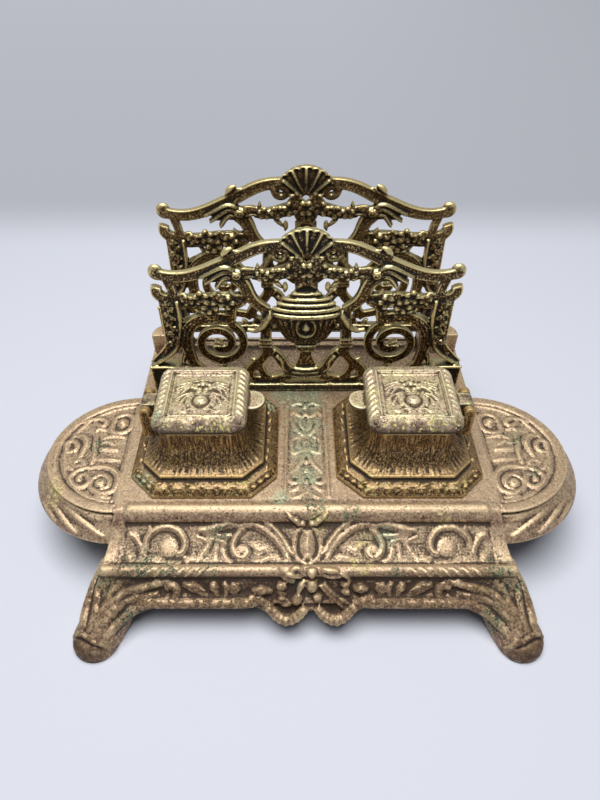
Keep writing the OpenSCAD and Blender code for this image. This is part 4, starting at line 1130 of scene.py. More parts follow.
for s in (-1, 1):                                                        # its frame
    lay(frieze_at, [(s * 0.4, 0.02), (s * 4.6, 0.2), (s * 6.0, 0.5), (s * 4.6, 0.82), (s * 0.6, 0.99)],
        [0.7], 0.2, sides=(1,))
    for x, y, z in ((2.2, -4.2, 37.4), (5.0, -3.6, 39.2), (7.6, -2.6, 40.8)):
        carve.string([(s * x * 0.5, -4.4, 36.6), (s * x, y, z), (s * x * 1.25, y + 2.0, z + 1.0)],
                     [0.8, 1.3, 0.6])
print("frieze carved")

# %% Base: the apron
for points, radii, h in (
        ([(56, .36), (50.8, .48), (45.2, .73)], [0.8, 2.1, 2.0, 0.7], 0.0),
        ([(56, .7), (51.5, .78), (46, .92)], [0.5, 1.0, 0.4], 0.0),
        ([(42.8, .3), (41.8, .52), (40.2, .71)], [0.8, 1.6, 0.6], 0.1),
        ([(64, .53), (60, .42), (58.8, .71), (61.5, .82), (63.4, .7)], [1.0, 1.4, 1.2, 0.7], 0.1),
        ([(71, .42), (67.4, .3), (65.2, .42)], [0.8, 1.5, 0.7], 0.1),
        ([(55, .3), (50.4, .36), (45.6, .56)], [0.3, 0.7, 0.3], 1.5),
        ([(37.8, .3), (36.2, .52), (37, .8)], [0.6, 1.2, 0.5], 0.1)):
    lay(apron_at, points, 1.1 * np.array(radii), h + 0.8)
for k in range(6):
    a = math.radians(60 * k + 20)
    lay(apron_at, [(32.9, .5), (32.9 + 2.4 * math.cos(a), .5 + 0.18 * math.sin(a))], [1.1, 1.2], 0.8)
for k in range(7):                                                       # leaves wrapped on the lower roll
    x = 48 + 4.6 * k
    for s in (-1, 1):
        carve.string([(s * (x - 2.4), -21.2, 28.6), (s * x, -23.2, 28.0), (s * (x + 2.2), -24.2, 25.6)],
                     [0.5, 1.1, 0.4])
print("apron carved")


# %% [markdown]
# A ribbon is knotted in the middle of the apron, with two uneven loops of twisted cord. Its
# strands are strings laid on a sloping plane that lifts over the lower roll, and a wave in their
# radius gives the long strands their ribs.

# %% Base: the ribbon
def on_knot(a, b, h):
    """A point of the knot: a across, b down the slope from its middle, h proud of apron and roll."""
    h += max(0.2, math.sqrt(max(8.4 - (b + 16.1) ** 2, 0)) - 0.6)
    return (a + 1.6, -31.6 - 0.63 * b - 0.77 * h, 13.8 - 0.77 * b + 0.63 * h)


def tie(points, radii, h=0.3, sides=(1,), ribs=0.0):
    """A strand through (a, b) points, its middle h of its radius proud, ribbed across if asked."""
    line = through(points, 10 if ribs else 4)
    radii = [r * (1 + ribs * math.cos(1.05 * i)) for i, r in enumerate(spread(radii, len(line)))]
    for s in sides:
        carve.string([on_knot(s * a, b, h * r) for (a, b), r in zip(line, radii)], radii)


for s in (-1, 1):                                                        # the plate behind the loops
    boss(lambda h: on_knot(s * 9.6, 1.4, h - 1.6), 7.2, 0.6)
tie([(30, -1.4), (25, -0.8), (20.6, 1.2), (17, 3.4), (13, 5.2)], [1.6, 2.2, 2.4, 2.4], -0.8, (-1, 1))
tie([(-4, 1.4), (0, 0.8), (4, 1.4)], [2.2], -0.7)
tie([(28, -3.4), (23.6, -2.9), (20.4, -1.2)], [2.7, 2.4, 2.2], 0.0, (-1, 1))
tie([(20.4, -1.2), (17.6, 1.5), (15, 4.3), (11.4, 5.9), (7.6, 5.1), (4.5, 2.8), (2.2, 0)],
    [2.2, 2.2, 2.5, 2.2, 1.8], 0.45, (-1, 1), 0.3)
for points, radii in (
        ([(0.5, -12.2), (0.5, -10.4), (0.5, -8.8), (0.5, -7.2)], [2.2, 2.6, 2.6, 2.2]),            # the knot
        ([(-0.9, -17.9), (0.2, -15.8), (0.4, -13.9)], [1.5, 2.1, 1.1]),
        ([(1.5, -17.9), (0.4, -15.8), (0.4, -13.9)], [1.5, 2.1, 1.1]),
        # the left loop
        ([(-7.7, -1.2), (-6.9, -2.4), (-5.7, -4.5), (-5.2, -5.4)], [1.6, 2.3, 2.3, 1.6]),
        ([(-5.7, -6.6), (-4.4, -9.8), (-2.6, -12.4)], [1.3, 1.8, 0.9]),
        ([(-15.3, -10.0), (-13.4, -9.4), (-11.1, -9.9)], [1.7, 2.3, 1.7]),
        ([(-12.2, -14.2), (-9.8, -12.8), (-7.4, -11.6)], [1.5, 1.9, 1.5]),
        ([(-15.2, -6.8), (-13.0, -5.9), (-11.2, -5.2)], [1.2, 1.2, 0.6]),
        ([(-14.6, -3.6), (-12.6, -3.2), (-10.4, -2.8)], [1.0, 1.1, 0.5]),
        ([(-13.7, -0.4), (-10.8, -0.5), (-8.4, -1.8)], [0.6, 1.2, 0.9]),
        ([(-8.9, -17.0), (-6.6, -18.2), (-3.9, -17.4)], [1.0, 1.3, 0.9]),
        ([(-11.6, -16.0), (-8.4, -15.0), (-4.4, -13.6)], [1.0, 1.5, 0.8]),
        ([(-26.9, -7.2), (-22.6, -7.4), (-17.3, -6.8)], [0.6, 2.4, 1.0]),
        # the right loop
        ([(1.3, -3.4), (2.8, -3.9), (4.6, -3.5)], [2.0, 2.2, 1.9]),
        ([(4.0, -9.8), (7.4, -5.6), (10.2, -2.7)], [0.8, 1.0, 0.8]),
        ([(5.7, -10.4), (9.2, -6.4), (12.6, -3.6)], [0.7, 0.9, 0.6]),
        ([(10.2, -2.7), (12.4, -0.8), (14.4, 1.2)], [0.8, 0.7, 0.5]),
        ([(13.2, -10.4), (15.4, -9.7), (17.1, -10.0)], [0.9, 1.5, 1.2]),
        ([(13.6, -7.2), (15.6, -6.4), (17.3, -6.6)], [1.0, 1.6, 1.4]),
        ([(12.8, -3.2), (15.1, -2.0), (16.9, -1.6)], [0.8, 1.1, 0.7]),
        ([(4.6, -17.6), (8.2, -17.2), (12.0, -16.8)], [1.1, 1.6, 1.2]),
        ([(5.6, -14.4), (9.4, -14.0), (13.2, -14.2)], [0.6, 1.2, 0.8]),
        ([(12.8, -16.0), (15.6, -14.2), (17.6, -10.8)], [0.9, 1.1, 0.8]),
        ([(18.9, -8.1), (22.2, -8.3), (25.6, -7.5)], [1.3, 2.5, 0.8])):
    tie(points, radii)
print("ribbon tied")

# %% [markdown]
# Long acanthus ribs run from the apron round the corner and down each front foot, and a wavy lip
# ends them. They are drawn as one string each, so that they bend round the corner without a seam.

# %% Base: ribs of the feet
for line, fat, sink in (       # three numbers are a place in space, two are a place on the foot
        ([(60, -23.6, 22.6), (66.4, -25.3, 22.0), (74.0, -27.0, 21.0), (10.6, -0.68), (14.9, -0.46),
          (18.4, -0.32), (22, -0.29), (26.7, -0.32)], [0.7, 1.6, 2.0, 2.0, 1.7, 1.4, 1.1, 0.5], 0.2),
        ([(67, -28.4, 18.8), (74, -29.6, 18.4), (13.6, -0.76), (17.3, -0.6), (21.2, -0.5), (24.8, -0.46),
          (28.8, -0.47)],
         [0.8, 1.7, 2.4, 2.5, 2.2, 1.7, 0.6], 0.38),
        ([(62, -30.6, 15.4), (70, -31.0, 15.8), (77, -32.6, 14.8), (17.9, -0.87), (22.4, -0.78),
          (26.4, -0.72), (29.8, -0.74)],
         [2.8, 2.9, 3.3, 3.5, 3.1, 2.3, 0.8], 0.45),
        ([(2, 0.82), (12.5, 0.78), (21.2, 0.64), (27.2, 0.5), (31.6, 0.4)], [1.4, 3.1, 3.5, 3.0, 1.2], 0.5),
        ([(5, 0.46), (13, 0.5), (20, 0.26), (25, 0.12), (30, 0.08)], [0.8, 1.9, 2.0, 1.7, 0.6], 0.3),
        ([(6, -0.05), (15.5, -0.16), (20.6, -0.1), (25.3, -0.12), (29.8, -0.2)], [0.7, 1.5, 1.7, 1.4, 0.5],
         0.25),
        ([(6.3, -0.22), (8.9, -0.27), (12.7, -0.22)], [1.2, 1.6, 0.8], 0.3),
        ([(33.0, 0.96), (32.9, 0.62), (32.4, 0.28), (32.6, -0.05), (32.9, -0.35), (32.4, -0.66),
          (30.7, -0.93), (28.4, -0.99)],
         [0.6, 1.0, 1.2, 1.2, 1.2, 1.1, 0.9, 0.5], 0.1)):
    for s in (-1, 1):
        places = [(s * q[0], q[1], q[2]) if len(q) == 3 else on_foot(s, q[0], q[1]) for q in line]
        soft = through(places, 5)
        thick = spread(fat, len(soft))
        carve.string([(x, y + 0.2 * r, z - sink * r) for (x, y, z), r in zip(soft, thick)], thick)
print("feet ribbed")


# %% [markdown]
# Each wing has a sunk field of scrolls inside a plain border, its skirt has long leaves, and a
# strip of scrolls crosses the middle of the deck. All of it is in low relief, about half sunk in
# the surface that it is laid on.

# %% Base: fields of the wings
def flat_line(points, radii, z=41.35, per=5):
    """Lay a line of (x, y) points in low relief on a flat at height z, on both halves."""
    line = through(points, per)
    radii = fitted(radii, len(line))
    for s in (-1, 1):
        carve.string([(s * x, y, z - SINK * r) for (x, y), r in zip(line, radii)], radii)


for points, radii in (
        ([(106, 26.1), (110.9, 23.9), (113.6, 19.2), (110.8, 14.9), (106.6, 13.9), (104, 17), (106.1, 21),
          (109.2, 20.6), (109.3, 17.8)],
         [1.0, 1.2, 1.2, 1.0, 0.7]),
        ([(106.1, 25.3), (101.7, 26.2), (95.7, 25.3), (91.2, 21.3), (90.2, 16), (91.6, 11.6), (96.9, 10.4),
          (102.3, 13.6), (104.2, 17.4)],
         [0.9, 1.3, 1.3, 1.1, 0.8]),
        ([(102.6, 14.4), (102.6, 18.6), (98.9, 21.2), (94.9, 18.8), (94.4, 14.6), (97.6, 12.8)],
         [0.6, 0.9, 0.9, 0.5]),
        ([(117.5, 46.6), (113.9, 45.8), (110.9, 42.2), (111.4, 36), (113.4, 29.1)],
         [0.8, 1.6, 1.8, 1.2, 0.5]),
        ([(120.4, 37.5), (121.2, 41), (118.8, 43.0), (115.8, 40.6), (116.0, 36.7), (118.9, 35.9)],
         [0.9, 1.1, 0.9, 0.6]),
        ([(114.2, 29.8), (110.7, 30.2), (108.6, 27.4), (112.4, 27.0)], [0.7, 1.1, 0.6]),
        ([(116.2, 55.4), (113.0, 57.6), (108.1, 58.4), (104.5, 56.6), (105.2, 53.6), (108.4, 54.4),
          (110.4, 56.6)], [0.8, 1.2, 1.0, 0.6]),
        ([(100.5, 53.7), (99.3, 59.2), (95.1, 61.6), (91.2, 59.6), (90.4, 55.3), (91.7, 50.3), (95.9, 48.4),
          (100.0, 49.6), (100.5, 53.7)],
         [1.0, 1.1, 1.0, 1.1]),
        ([(97.6, 57.6), (95.6, 55.4), (94.0, 52.8)], [1.6, 2.6, 1.5]),
        ([(103.6, 45.2), (98.4, 46.2), (92.4, 45.6)], [0.5, 1.2, 0.5]),
        ([(103.4, 37.4), (98.9, 37.2), (94.0, 37.0)], [1.0, 1.2, 0.9]),
        ([(103.5, 31.2), (97.6, 30.9), (91.7, 30.4)], [0.5, 1.0, 0.5]),
        ([(107.4, 47.4), (106.7, 41.0), (105.4, 34.8), (105.6, 28.1)], [0.7, 1.1, 0.9, 0.6]),
        ([(108.6, 49.8), (106.6, 51.4), (103.4, 50.6)], [0.6, 1.1, 0.5]),
        ([(99.6, 8.6), (95.6, 8.2), (92.0, 7.6)], [0.4, 0.8, 0.4]),
        ([(118.2, 31.2), (116.4, 26.4), (113.8, 24.6)], [0.4, 0.9, 0.4]),
        ([(104.8, 41.6), (100.6, 42.6), (96.8, 40.8)], [0.4, 0.8, 0.4])):
    flat_line(points, radii)
for s in (-1, 1):
    boss(lambda h: (s * 98.4, 16.4, 41.2 + h), 2.3, 0.9)
border = [(89 + 31.2 * math.cos(a), WING_Y + 31.2 * math.sin(a))
          for a in np.radians(np.linspace(-88, 88, 40))]
flat_line(border + [(89.6, 60), (89.4, 36), (89.6, 13)] + border[:1], [0.5, 0.5], z=41.45, per=1)
print("wing fields carved")


# %% Base: skirts of the wings and middle of the deck
def on_skirt(s, a, t, h):
    """A point of a wing's skirt, a degrees round from the middle of its side."""
    r, z = ogee(t, 9)
    up = 4.5 * math.pi * math.sin(math.pi * t)
    d = math.hypot(10, up)
    r, z = WING_R + r + h * 10 / d, z + h * up / d
    return (s * (89 + r * math.cos(math.radians(a))), WING_Y + r * math.sin(math.radians(a)), z)


for s in (-1, 1):
    # long leaves, rubbed away at the side
    for end in (-1, 1):
        for rib, r in (([(85, .72), (74, .5), (62, .36), (51, .3)], 1.9),
                       ([(68, .8), (58, .64), (47, .52), (37, .52)], 1.8),
                       ([(84, .3), (76, .24), (68, .2)], 1.1), ([(52, .84), (43, .74), (33, .74)], 1.4),
                       ([(45, .3), (35, .32), (25, .42)], 1.4), ([(28, .62), (20, .5), (10, .45)], 1.0)):
            rib = through(rib, 3)
            fat = [r * (0.35 + 0.65 * math.sin(math.pi * (i + 0.5) / len(rib))) for i in range(len(rib))]
            carve.string([on_skirt(s, end * a, t, -0.4 * f) for (a, t), f in zip(rib, fat)], fat)
    carve.string([on_skirt(s, a, 0.95, -0.95) for a in np.linspace(-88, 88, 60)], 1.0)
    carve.string([(s * 10.2, 7.5, 41.75), (s * 10.0, 68.5, 41.75)], 0.8)
    for points, radii in (
            ([(2.2, 36.2), (6.0, 34.4), (7.2, 38.4), (6.8, 43.0), (3.0, 45.6)], [0.6, 1.0, 1.1, 0.6]),
            ([(1.4, 46.2), (4.2, 49.2), (6.6, 54.4), (5.0, 56.2)], [0.7, 1.2, 1.0, 0.5]),
            ([(1.0, 50), (2.6, 53.6), (2.0, 57)], [0.6, 0.9, 0.5]),
            ([(1.2, 58.6), (4.4, 60.8), (6.8, 63.2), (7.6, 60.2)], [0.8, 1.3, 0.9, 0.5]),
            ([(1.0, 33.6), (2.8, 28.4), (5.4, 24.8), (8.0, 21.2)], [0.7, 1.0, 0.8, 0.4]),
            ([(8.2, 20.6), (7.6, 16.2), (4.4, 16.0), (4.0, 19.2), (6.0, 19.6)], [0.8, 1.0, 0.7, 0.5]),
            ([(1.4, 20.2), (4.0, 13.4), (7.6, 11.2)], [0.6, 1.0, 0.5]),
            ([(0.8, 10.6), (3.6, 8.0), (6.6, 7.2)], [0.6, 1.1, 0.5]),
            ([(0.6, 67.6), (3.8, 69.2), (7.4, 68.0)], [1.0, 1.4, 0.7])):
        line = through(points, 5)
        radii = spread(radii, len(line))
        carve.string([(s * x, y, DECK - 0.45 * r) for (x, y), r in zip(line, radii)], radii * 1.1)
for y, r in ((40.4, 2.3), (28.5, 1.2), (23.4, 1.5), (16.4, 1.3), (60.5, 1.7), (66.4, 1.6)):
    carve.string([(0, y - r * 0.5, 42.0 - r * 0.3), (0, y + r * 0.5, 42.0 - r * 0.3)], r)
print("skirts and deck carved")

# %% [markdown]
# The whole base is cast in one piece, so grounds and ornament are joined and melted together.

# %% Base: cast in one
base = join("base_cast", *base_parts, carve.mesh(), bosses.mesh())
melt(base, 0.55, most=195000)
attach(base, "root")
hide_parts("base_casting")
print("base", [round(v * 1000, 1) for v in base.dimensions])

# %% [markdown]
# ## Finishes
# One function turns a colour written in sRGB hex into the linear numbers that Blender wants,
# and one small function adds a node, sets its inputs and links them, and gives its outputs.

# %% Colour and nodes
def rgb(hexa):
    c = [int(hexa[i:i + 2], 16) / 255 for i in (1, 3, 5)]
    return (*[v / 12.92 if v <= 0.04045 else ((v + 0.055) / 1.055) ** 2.4 for v in c], 1)


def node(tree, kind, inputs=(), **settings):
    """Adds a node and gives its outputs. An input may be a number, a hex colour or a socket."""
    n = tree.nodes.new("ShaderNode" + kind)
    for key, value in settings.items():
        setattr(n, key, value)
    for key, value in dict(inputs).items():
        if isinstance(value, bpy.types.NodeSocket):
            tree.links.new(value, n.inputs[key])
        else:
            n.inputs[key].default_value = rgb(value) if isinstance(value, str) else value
    return n.outputs


def bare_tree(owner):
    """The node tree of a material or a world, emptied."""
    owner.use_nodes = True
    owner.node_tree.nodes.clear()
    return owner.node_tree


print("tan brass is", tuple(round(v, 3) for v in rgb("#9a7a5c")))

# %% [markdown]
# ### Cast brass with gilt, dirt and verdigris
# Sand-cast brass that was gilded and lacquered long ago. The flats have gone a dusty tan-brown
# with darker and rosier clouds about a centimetre across. Gilt still shows on what stands proud,
# dirt lies in the narrow hollows, and green and yellow salts have grown in a few places, given
# as spots (x, y, z, radius) in millimetres. What faces up takes dust mixed with a painted highlight,
# and what faces down takes painted shade in the dirt colour. The matted grounds of the base are
# stippled with a punch about 0.8 mm apart. The real grain and pits are finer than half a
# millimetre; here they are about one millimetre wide, so that they show.

# %% Cast brass
SOFT = {"interpolation_type": "SMOOTHSTEP"}    # a Map Range with these eases in and out
COLOUR = {"data_type": "RGBA"}                 # a Mix with these mixes colours
CRUST = 0.85                                   # how much of the ground a crust of salts hides
# the noises, each with its width in mm and its detail
NOISES = (("clouds", 13, 2), ("mottle", 3.0, 5), ("grain", 0.95, 3), ("salts", 2.4, 4))


def cast_brass(name, tan, rosy, light, gilt, dirt_and_shade, salts=(), matted=(), shine=0.5, rough=0.5, gilt_at=1.5,
               dirt_at=1.2, rub=0.6, dust_and_top_light=None, streaks=0.0, shade_at=0.12):
    mat = bpy.data.materials.new(name)
    t = bare_tree(mat)
    here = node(t, "TexCoord")["Object"]
    mm = node(t, "Mapping", {"Vector": here, "Scale": (1000, 1000, 1000)})[0]
    proud = node(t, "Attribute", attribute_name="proud")["Fac"]
    up = node(t, "Attribute", attribute_name="up")["Fac"]
    seen = {}
    for key, size, detail in NOISES:
        moved = node(t, "Mapping", {"Vector": mm, "Location": (7.0 * len(seen), 31, 5),
                                    "Scale": (1 / size,) * 3})[0]
        seen[key] = node(t, "TexNoise", {"Vector": moved, "Scale": 1.0, "Detail": detail,
                                         "Roughness": 0.6})["Fac"]

    def spots(places):
        """1 inside the spots, with ragged edges."""
        total = None
        for x, y, z, r in places:
            far = node(t, "VectorMath", {0: mm, 1: (x, y - DECK_MID, z)}, operation="DISTANCE")["Value"]
            ragged = node(t, "Math", {0: seen["mottle"], 1: -2.2 * r, 2: far}, operation="MULTIPLY_ADD")[0]
            one = node(t, "MapRange", {0: ragged, 1: 0.1 * r, 2: -0.75 * r}, **SOFT)[0]
            total = one if total is None else node(t, "Math", {0: total, 1: one}, operation="MAXIMUM")[0]
        return total

    # clouds, mottle and grain: where each starts, where it is full, how strong, and its colour
    noises = [("clouds", 0.42, 0.6, 1.0, rosy), ("mottle", 0.5, 0.66, 0.7, light),
              ("mottle", 0.47, 0.3, 0.5, dirt_and_shade), ("grain", 0.54, 0.66, 0.7, gilt),
              ("grain", 0.46, 0.34, 0.7, dirt_and_shade)]
    if streaks:
        run = node(t, "Mapping", {"Vector": mm, "Scale": (1.5, 1.5, 0.13)})[0]
        seen["run"] = node(t, "TexNoise", {"Vector": run, "Scale": 1.0, "Detail": 3,
                                           "Roughness": 0.65})["Fac"]
        noises += [("run", 0.49, 0.38, streaks, dirt_and_shade), ("run", 0.55, 0.66, streaks, gilt)]
    coats = [(node(t, "MapRange", {0: seen[key], 1: start, 2: full, 4: most}, **SOFT)[0], tint)
             for key, start, full, most, tint in noises]
    if dust_and_top_light:                                                # dust, mixed with a painted highlight from above, on what faces up
        tint, start, full, most = dust_and_top_light
        lit = node(t, "Math", {0: seen["grain"], 1: 0.6, 2: up}, operation="MULTIPLY_ADD")[0]
        coats.append((node(t, "MapRange", {0: lit, 1: start + 0.3, 2: full + 0.3, 4: most}, **SOFT)[0], tint))
    rubbed = node(t, "Math", {0: seen["grain"], 1: 3.0, 2: proud}, operation="MULTIPLY_ADD")[0]
    high = node(t, "MapRange", {0: rubbed, 1: gilt_at + 1.5, 2: gilt_at + 4.0, 4: rub}, **SOFT)[0]
    low = node(t, "MapRange", {0: rubbed, 1: 1.5 - dirt_at, 2: -dirt_at - 0.4}, **SOFT)[0]
    coats.append((high, gilt))
    pits = node(t, "MapRange", {0: seen["grain"], 1: 0.36, 2: 0.3}, **SOFT)[0]
    if matted:
        punch = node(t, "TexVoronoi", {"Vector": mm, "Scale": 1.3})["Distance"]
        flat = node(t, "MapRange", {0: proud, 1: 1.4, 2: 0.4}, **SOFT)[0]
        ground = node(t, "Math", {0: spots(matted), 1: flat}, operation="MULTIPLY")[0]
        coats.append((node(t, "Math", {0: ground, 1: 0.45}, operation="MULTIPLY")[0], light))
        dots = node(t, "MapRange", {0: punch, 1: 0.46, 2: 0.26, 4: 0.7}, **SOFT)[0]
        dots = node(t, "Math", {0: ground, 1: dots}, operation="MULTIPLY")[0]
        pits = node(t, "Math", {0: pits, 1: dots}, operation="MAXIMUM")[0]
    coats.append((node(t, "Math", {0: pits, 1: 0.75}, operation="MULTIPLY")[0], dirt_and_shade))
    dull = low
    for places, pale, deep, cut, veil in salts:             # a thin veil, and crusts on it
        where = spots(places)
        coats.append((node(t, "Math", {0: where, 1: veil}, operation="MULTIPLY")[0], pale))
        grown = node(t, "MapRange", {0: seen["salts"], 1: cut, 2: cut + 0.06}, **SOFT)[0]
        crust = node(t, "Math", {0: where, 1: grown}, operation="MULTIPLY")[0]
        deeper = node(t, "MapRange", {0: seen["grain"], 1: 0.56, 2: 0.44}, **SOFT)[0]
        tint = node(t, "Mix", {0: deeper, 6: pale, 7: deep}, **COLOUR)[2]
        coats.append((node(t, "Math", {0: crust, 1: CRUST}, operation="MULTIPLY")[0], tint))
        dull = node(t, "Math", {0: dull, 1: crust}, operation="MAXIMUM")[0]
    coats.append((node(t, "Math", {0: low, 1: 0.9}, operation="MULTIPLY")[0], dirt_and_shade))
    # painted shade: what faces sideways and down is darkened in the dirt colour
    painted_underside_shade = node(t, "MapRange", {0: up, 1: shade_at, 2: shade_at - 0.62, 4: 0.85}, **SOFT)[0]
    coats.append((painted_underside_shade, dirt_and_shade))                             # painted shade on what faces down
    colour = tan
    for amount, tint in coats:
        colour = node(t, "Mix", {0: amount, 6: colour, 7: tint}, **COLOUR)[2]
    worn = node(t, "MapRange", {0: high, 3: rough, 4: rough + 0.1})[0]
    satin = node(t, "MapRange", {0: dull, 3: worn, 4: 0.8})[0]
    metal = node(t, "MapRange", {0: dull, 3: shine, 4: 0.1})[0]
    height = node(t, "Math", {0: seen["grain"], 1: 0.06}, operation="MULTIPLY")[0]
    height = node(t, "Math", {0: pits, 1: -0.12, 2: height}, operation="MULTIPLY_ADD")[0]
    bump = node(t, "Bump", {"Height": height, "Strength": 1.0, "Distance": 0.001})[0]
    shader = node(t, "BsdfPrincipled", {"Base Color": colour, "Roughness": satin, "Metallic": metal,
                                        "Normal": bump})[0]
    node(t, "OutputMaterial", {"Surface": shader})
    print(name, "in", len(coats), "coats of colour")
    return mat


print("noises of", [size for _, size, _ in NOISES], "mm")

# %% [markdown]
# Now the places. Gilt, dust with its painted highlight, dirt and the painted shade on what faces down
# find their own way by the shape, but the salts, the punched grounds, the darker browns low down, the
# darker fronts of the lids and the darkening round the hinges are listed, in the millimetres of the maker's
# drawings.

# %% Where the patina lies, and the five brasses
SIDES = (-1, 1)
GREENS = [(0, 70, 42, 11), (0, 52, 42, 10), (0, 36, 42, 9), (0, 20, 42, 8), (-10, 77, 42, 9), (4, 80, 42, 8),
          (-12, 7, 42, 5), (36, -7, 32, 6), (-6, -24, 20, 6)]
DEEP = [(-76, -21, 27, 9), (-62, -22, 27, 6), (-44, -22, 27, 5), (86, -22, 25, 8), (40, -22, 26, 5),
        (-93, -22, 22, 7), (-80, -36, 12, 6), (94, -24, 20, 8), (84, -36, 10, 8), (-40, -7, 34, 6),
        (-104, 40, 41, 6), (106, 44, 41, 6), (3, 3, 42, 6), (20, -2, 41, 5), (110, 22, 41, 4),
        (-96, 16, 42, 3)]
YELLOWS = [(-31, -31, 15, 4), (24, -20, 27, 6), (6, -3, 38, 6), (-70, -25, 22, 6), (78, -24, 22, 6),
           (-88, -26, 18, 7), (26, -8, 33, 6), (-122, 12, 40, 8), (60, -3, 38, 5), (90, -33, 12, 7)]
MATTED = [(s * x, -11, 32, 13) for s in SIDES for x in (16, 32, 48, 64, 78)]
MATTED += [(s * 100, y, 41, 24) for s in SIDES for y in (24, 46)]
MATTED += [(0, y, 42, 10) for y in (14, 30, 46, 62)]
FRONTS = [(s * x, 19.5, 73, 7) for s in SIDES for x in (32, 40, 49, 58, 66)]
VERDIGRIS, SULPHUR, WINE = ("#b9c4a0", "#55664a"), ("#e6dc9c", "#c0aa58"), ("#94786a", "#5c4640")
COPPER_GREEN, LOW_BROWNS, HINGE_BROWNS = ("#8c9670", "#22332a"), ("#86694a", "#4a3626"), ("#4e3824", "#22160c")
# darker browns low on the front feet and the apron, and darker still on the toes
LOW = [(s * x, y, z, r) for s in SIDES
       for x, y, z, r in ((82, -24, 22, 10), (88, -34, 14, 11), (97, -46, 7, 11), (97, -30, 18, 8))]
LOW += [(s * x, -29, 16, 13) for s in SIDES for x in (12, 24, 36, 48, 60, 72)]
TOES = [(s * 99, -53, 0, 15) for s in SIDES]
# round the hinge lugs and the webs under them the brass is darkened
HINGES = [(s * x, 41.6, z, 6) for s in SIDES for x, z in ((76, 69), (75, 62))]
BASE = cast_brass("tan_patinated_brass", "#aa8c70", "#9a7864", "#dabf9a", "#f0d6a8", "#32231a",
                  shine=0.6, rough=0.46, dirt_at=0.6, rub=0.5, dust_and_top_light=("#e4cba4", 0.35, 0.95, 0.36),
                  matted=MATTED, salts=(
                      (YELLOWS, *SULPHUR, 0.5, 0.1), (GREENS, *VERDIGRIS, 0.5, 0.5),
                      (LOW, *LOW_BROWNS, 0.44, 0.45), (TOES, "#604834", "#3a2a1c", 0.5, 0.85),
                      (DEEP, *COPPER_GREEN, 0.47, 0.05)))
# on the racks the pale coat on what faces up is mostly a painted highlight from the lamp above, with a little
# dust
RACK = cast_brass("dark_gilt_brass", "#4e3b26", "#584229", "#6e5434", "#f2dea0", "#0a0704",
                  shine=0.8, rough=0.3, gilt_at=2.6, dirt_at=0.1, rub=0.9, dust_and_top_light=("#efe2a8", 0.3, 0.8, 0.85))
# painted light: the rear panel is the same casting as the front but is given lighter browns, for the brighter
# light that falls on it
RACK_REAR = cast_brass("gilt_brass_rear_painted_lighter", "#725836", "#7a6040", "#987a4c", "#ecd494", "#120c06",
                       shine=0.8, rough=0.34, gilt_at=3.0, dirt_at=0.3, rub=0.9,
                       dust_and_top_light=("#e8d8a0", 0.3, 0.8, 0.8))
WELL = cast_brass("brown_patinated_brass", "#6e5230", "#785a38", "#96784a", "#dcba7c", "#170e07",
                  shine=0.65, rough=0.4, dirt_at=0.5, streaks=0.8, dust_and_top_light=("#a88c66", 0.62, 0.9, 0.5), salts=(
                      ([(s * x, y, 46, 8) for s in SIDES for x, y in ((70, 10), (30, 12))], *SULPHUR, 0.55,
                       0.0),
                      (HINGES, *HINGE_BROWNS, 0.4, 0.8), ([(-80, 12, 45, 8), (-20, 62, 45, 6)], *VERDIGRIS, 0.5,
                                                  0.2)))
# the lids take the strongest painted shade, on their sides and under their edge
LID = cast_brass("khaki_patinated_brass", "#d6c498", "#ceb496", "#e8dcb4", "#f6eac0", "#3c2c1a",
                 shine=0.5, rough=0.44, dirt_at=1.2, shade_at=0.72, salts=(
                     (HINGES, *HINGE_BROWNS, 0.45, 0.6), (FRONTS, *WINE, 0.3, 0.8),
                     (FRONTS, "#5e4838", "#30231a", 0.45, 0.0), (FRONTS, "#f2e8ac", "#d8c678", 0.56, 0.0),
                     ([(-66, 28, 74, 7), (60, 26, 75, 6), (-44, 48, 75, 4)], *VERDIGRIS, 0.54, 0.1),
                     ([(-40, 22, 73, 8), (-58, 22, 73, 8), (40, 22, 73, 8), (58, 22, 73, 8), (30, 40, 75, 6)],
                      *SULPHUR, 0.54, 0.1)))
print("five brasses mixed")

# %% [markdown]
# ### The other parts
# Turned steel screws are hidden under the base, and the two pots are moulded glass, clear with a
# faint green cast. The hinge pins are brass and take the finish of the wells.

# %% Steel and glass, and every finish on its piece
def plain(name, colour, dusty, rough, metal, **more):
    mat = bpy.data.materials.new(name)
    t = bare_tree(mat)
    grain = node(t, "TexNoise", {"Vector": node(t, "TexCoord")["Object"], "Scale": 900, "Detail": 2})["Fac"]
    tint = node(t, "Mix", {0: grain, 6: colour, 7: dusty}, **COLOUR)[2]
    worn = node(t, "MapRange", {0: grain, 3: rough, 4: rough + 0.2})[0]
    shader = node(t, "BsdfPrincipled", {"Base Color": tint, "Roughness": worn, "Metallic": metal,
                                        **{k.replace("_", " "): v for k, v in more.items()}})[0]
    node(t, "OutputMaterial", {"Surface": shader})
    return mat


STEEL = plain("brushed_steel", "#8c8a86", "#6f6a62", 0.3, 1.0)
GLASS = plain("moulded_glass", "#e6eeea", "#dfe8e2", 0.02, 0.0, Transmission_Weight=1.0, IOR=1.5)
looks = {"left_hinge_pin": WELL, "right_hinge_pin": WELL, "left_ink_pot": GLASS,
         "right_ink_pot": GLASS, "front_rack_screws": STEEL, "rear_rack_screws": STEEL,
         "left_well_screws": STEEL, "right_well_screws": STEEL}
finishes = [(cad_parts[n], m) for n, m in looks.items()]
finishes += [(rack_front, RACK), (rack_rear, RACK_REAR), (lid_left, LID), (lid_right, LID),
             (well_left, WELL), (well_right, WELL), (base, BASE)]
for ob, mat in finishes:
    ob.data.materials.clear()
    ob.data.materials.append(mat)
print("finishes on", len(finishes), "pieces")

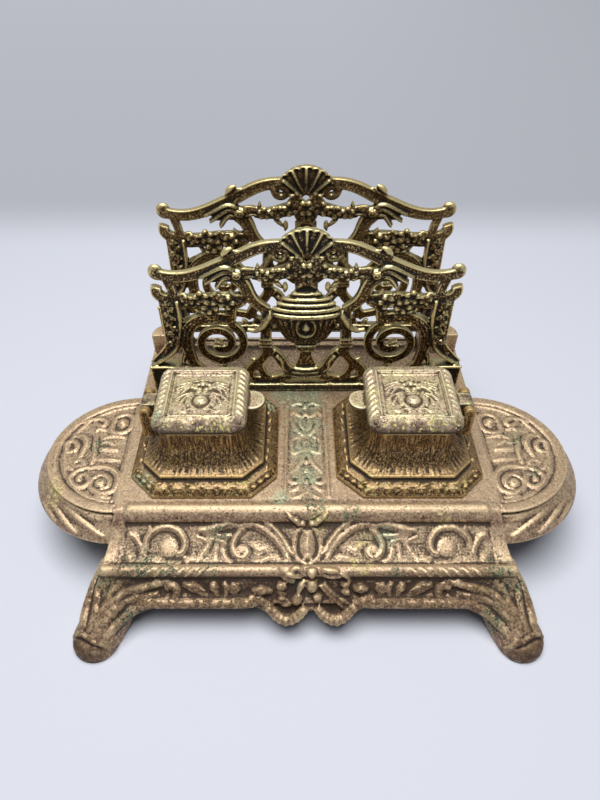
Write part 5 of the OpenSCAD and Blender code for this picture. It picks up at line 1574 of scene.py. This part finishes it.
# %% [markdown]
# ## Floor and light
# A pale paper sweep, greyer towards the back, and one large soft lamp high overhead, a little to
# the left and the front, so shadows stay close under the castings. The far part of the sweep
# glows a little for the camera, as a backdrop lit on its own; the metal reflects the dimmer room.

# %% Floor and light
bpy.ops.object.select_all(action="DESELECT")
bpy.ops.mesh.primitive_grid_add(x_subdivisions=8, y_subdivisions=8, size=6, location=(0, 0, 0))
floor = bpy.context.object
floor.name = "pale_floor"
pale = bpy.data.materials.new("pale_paper")
t = bare_tree(pale)
side, back, _ = node(t, "SeparateXYZ", {0: node(t, "TexCoord")["Object"]})
sweep = node(t, "MapRange", {0: back, 1: 0.262, 2: 0.36}, **SOFT)[0]
further = node(t, "MapRange", {0: back, 1: 0.36, 2: 1.6})[0]
wall = node(t, "Mix", {0: further, 6: "#b5b8c0", 7: "#bdc0c8"}, **COLOUR)[2]
# painted shade: the glowing backdrop darkens towards the right
right = node(t, "MapRange", {0: side, 1: 0.05, 2: 0.7, 4: 0.6})[0]
wall = node(t, "Mix", {0: right, 6: wall, 7: "#a2a5ac"}, **COLOUR)[2]
seen = node(t, "Math", {0: sweep, 1: node(t, "LightPath")["Is Camera Ray"]}, operation="MULTIPLY")[0]
near = node(t, "BsdfPrincipled", {"Base Color": "#dcdfe9", "Roughness": 0.9})[0]
far = node(t, "Emission", {"Color": wall, "Strength": 1.0})[0]
node(t, "OutputMaterial", {"Surface": node(t, "MixShader", {0: seen, 1: near, 2: far})[0]})
floor.data.materials.append(pale)

world = bpy.data.worlds.new("studio")
bpy.context.scene.world = world
t = bare_tree(world)
ray = node(t, "LightPath")
dim = node(t, "Background", {"Color": "#e6e9f2", "Strength": 0.12})[0]
mirrored_room = node(t, "Background", {"Color": "#e6e9f2", "Strength": 0.36})[0]
room = node(t, "MixShader", {0: ray["Is Glossy Ray"], 1: dim, 2: mirrored_room})[0]
seen_back = node(t, "Background", {"Color": "#c4c8d0", "Strength": 0.9})[0]
whole = node(t, "MixShader", {0: ray["Is Camera Ray"], 1: room, 2: seen_back})[0]
node(t, "OutputWorld", {"Surface": whole})

bpy.ops.object.light_add(type="AREA", location=(-0.07, -0.04, 1.2))
lamp = bpy.context.object
lamp.name = "soft_lamp"
lamp.data.shape = "RECTANGLE"
lamp.data.size, lamp.data.size_y = 0.95, 0.85
lamp.data.energy = 16.2
lamp.rotation_euler = (Vector((0, 0.02, 0.05)) - lamp.location).to_track_quat("-Z", "Y").to_euler()
print("lamp at", tuple(round(v, 2) for v in lamp.location))
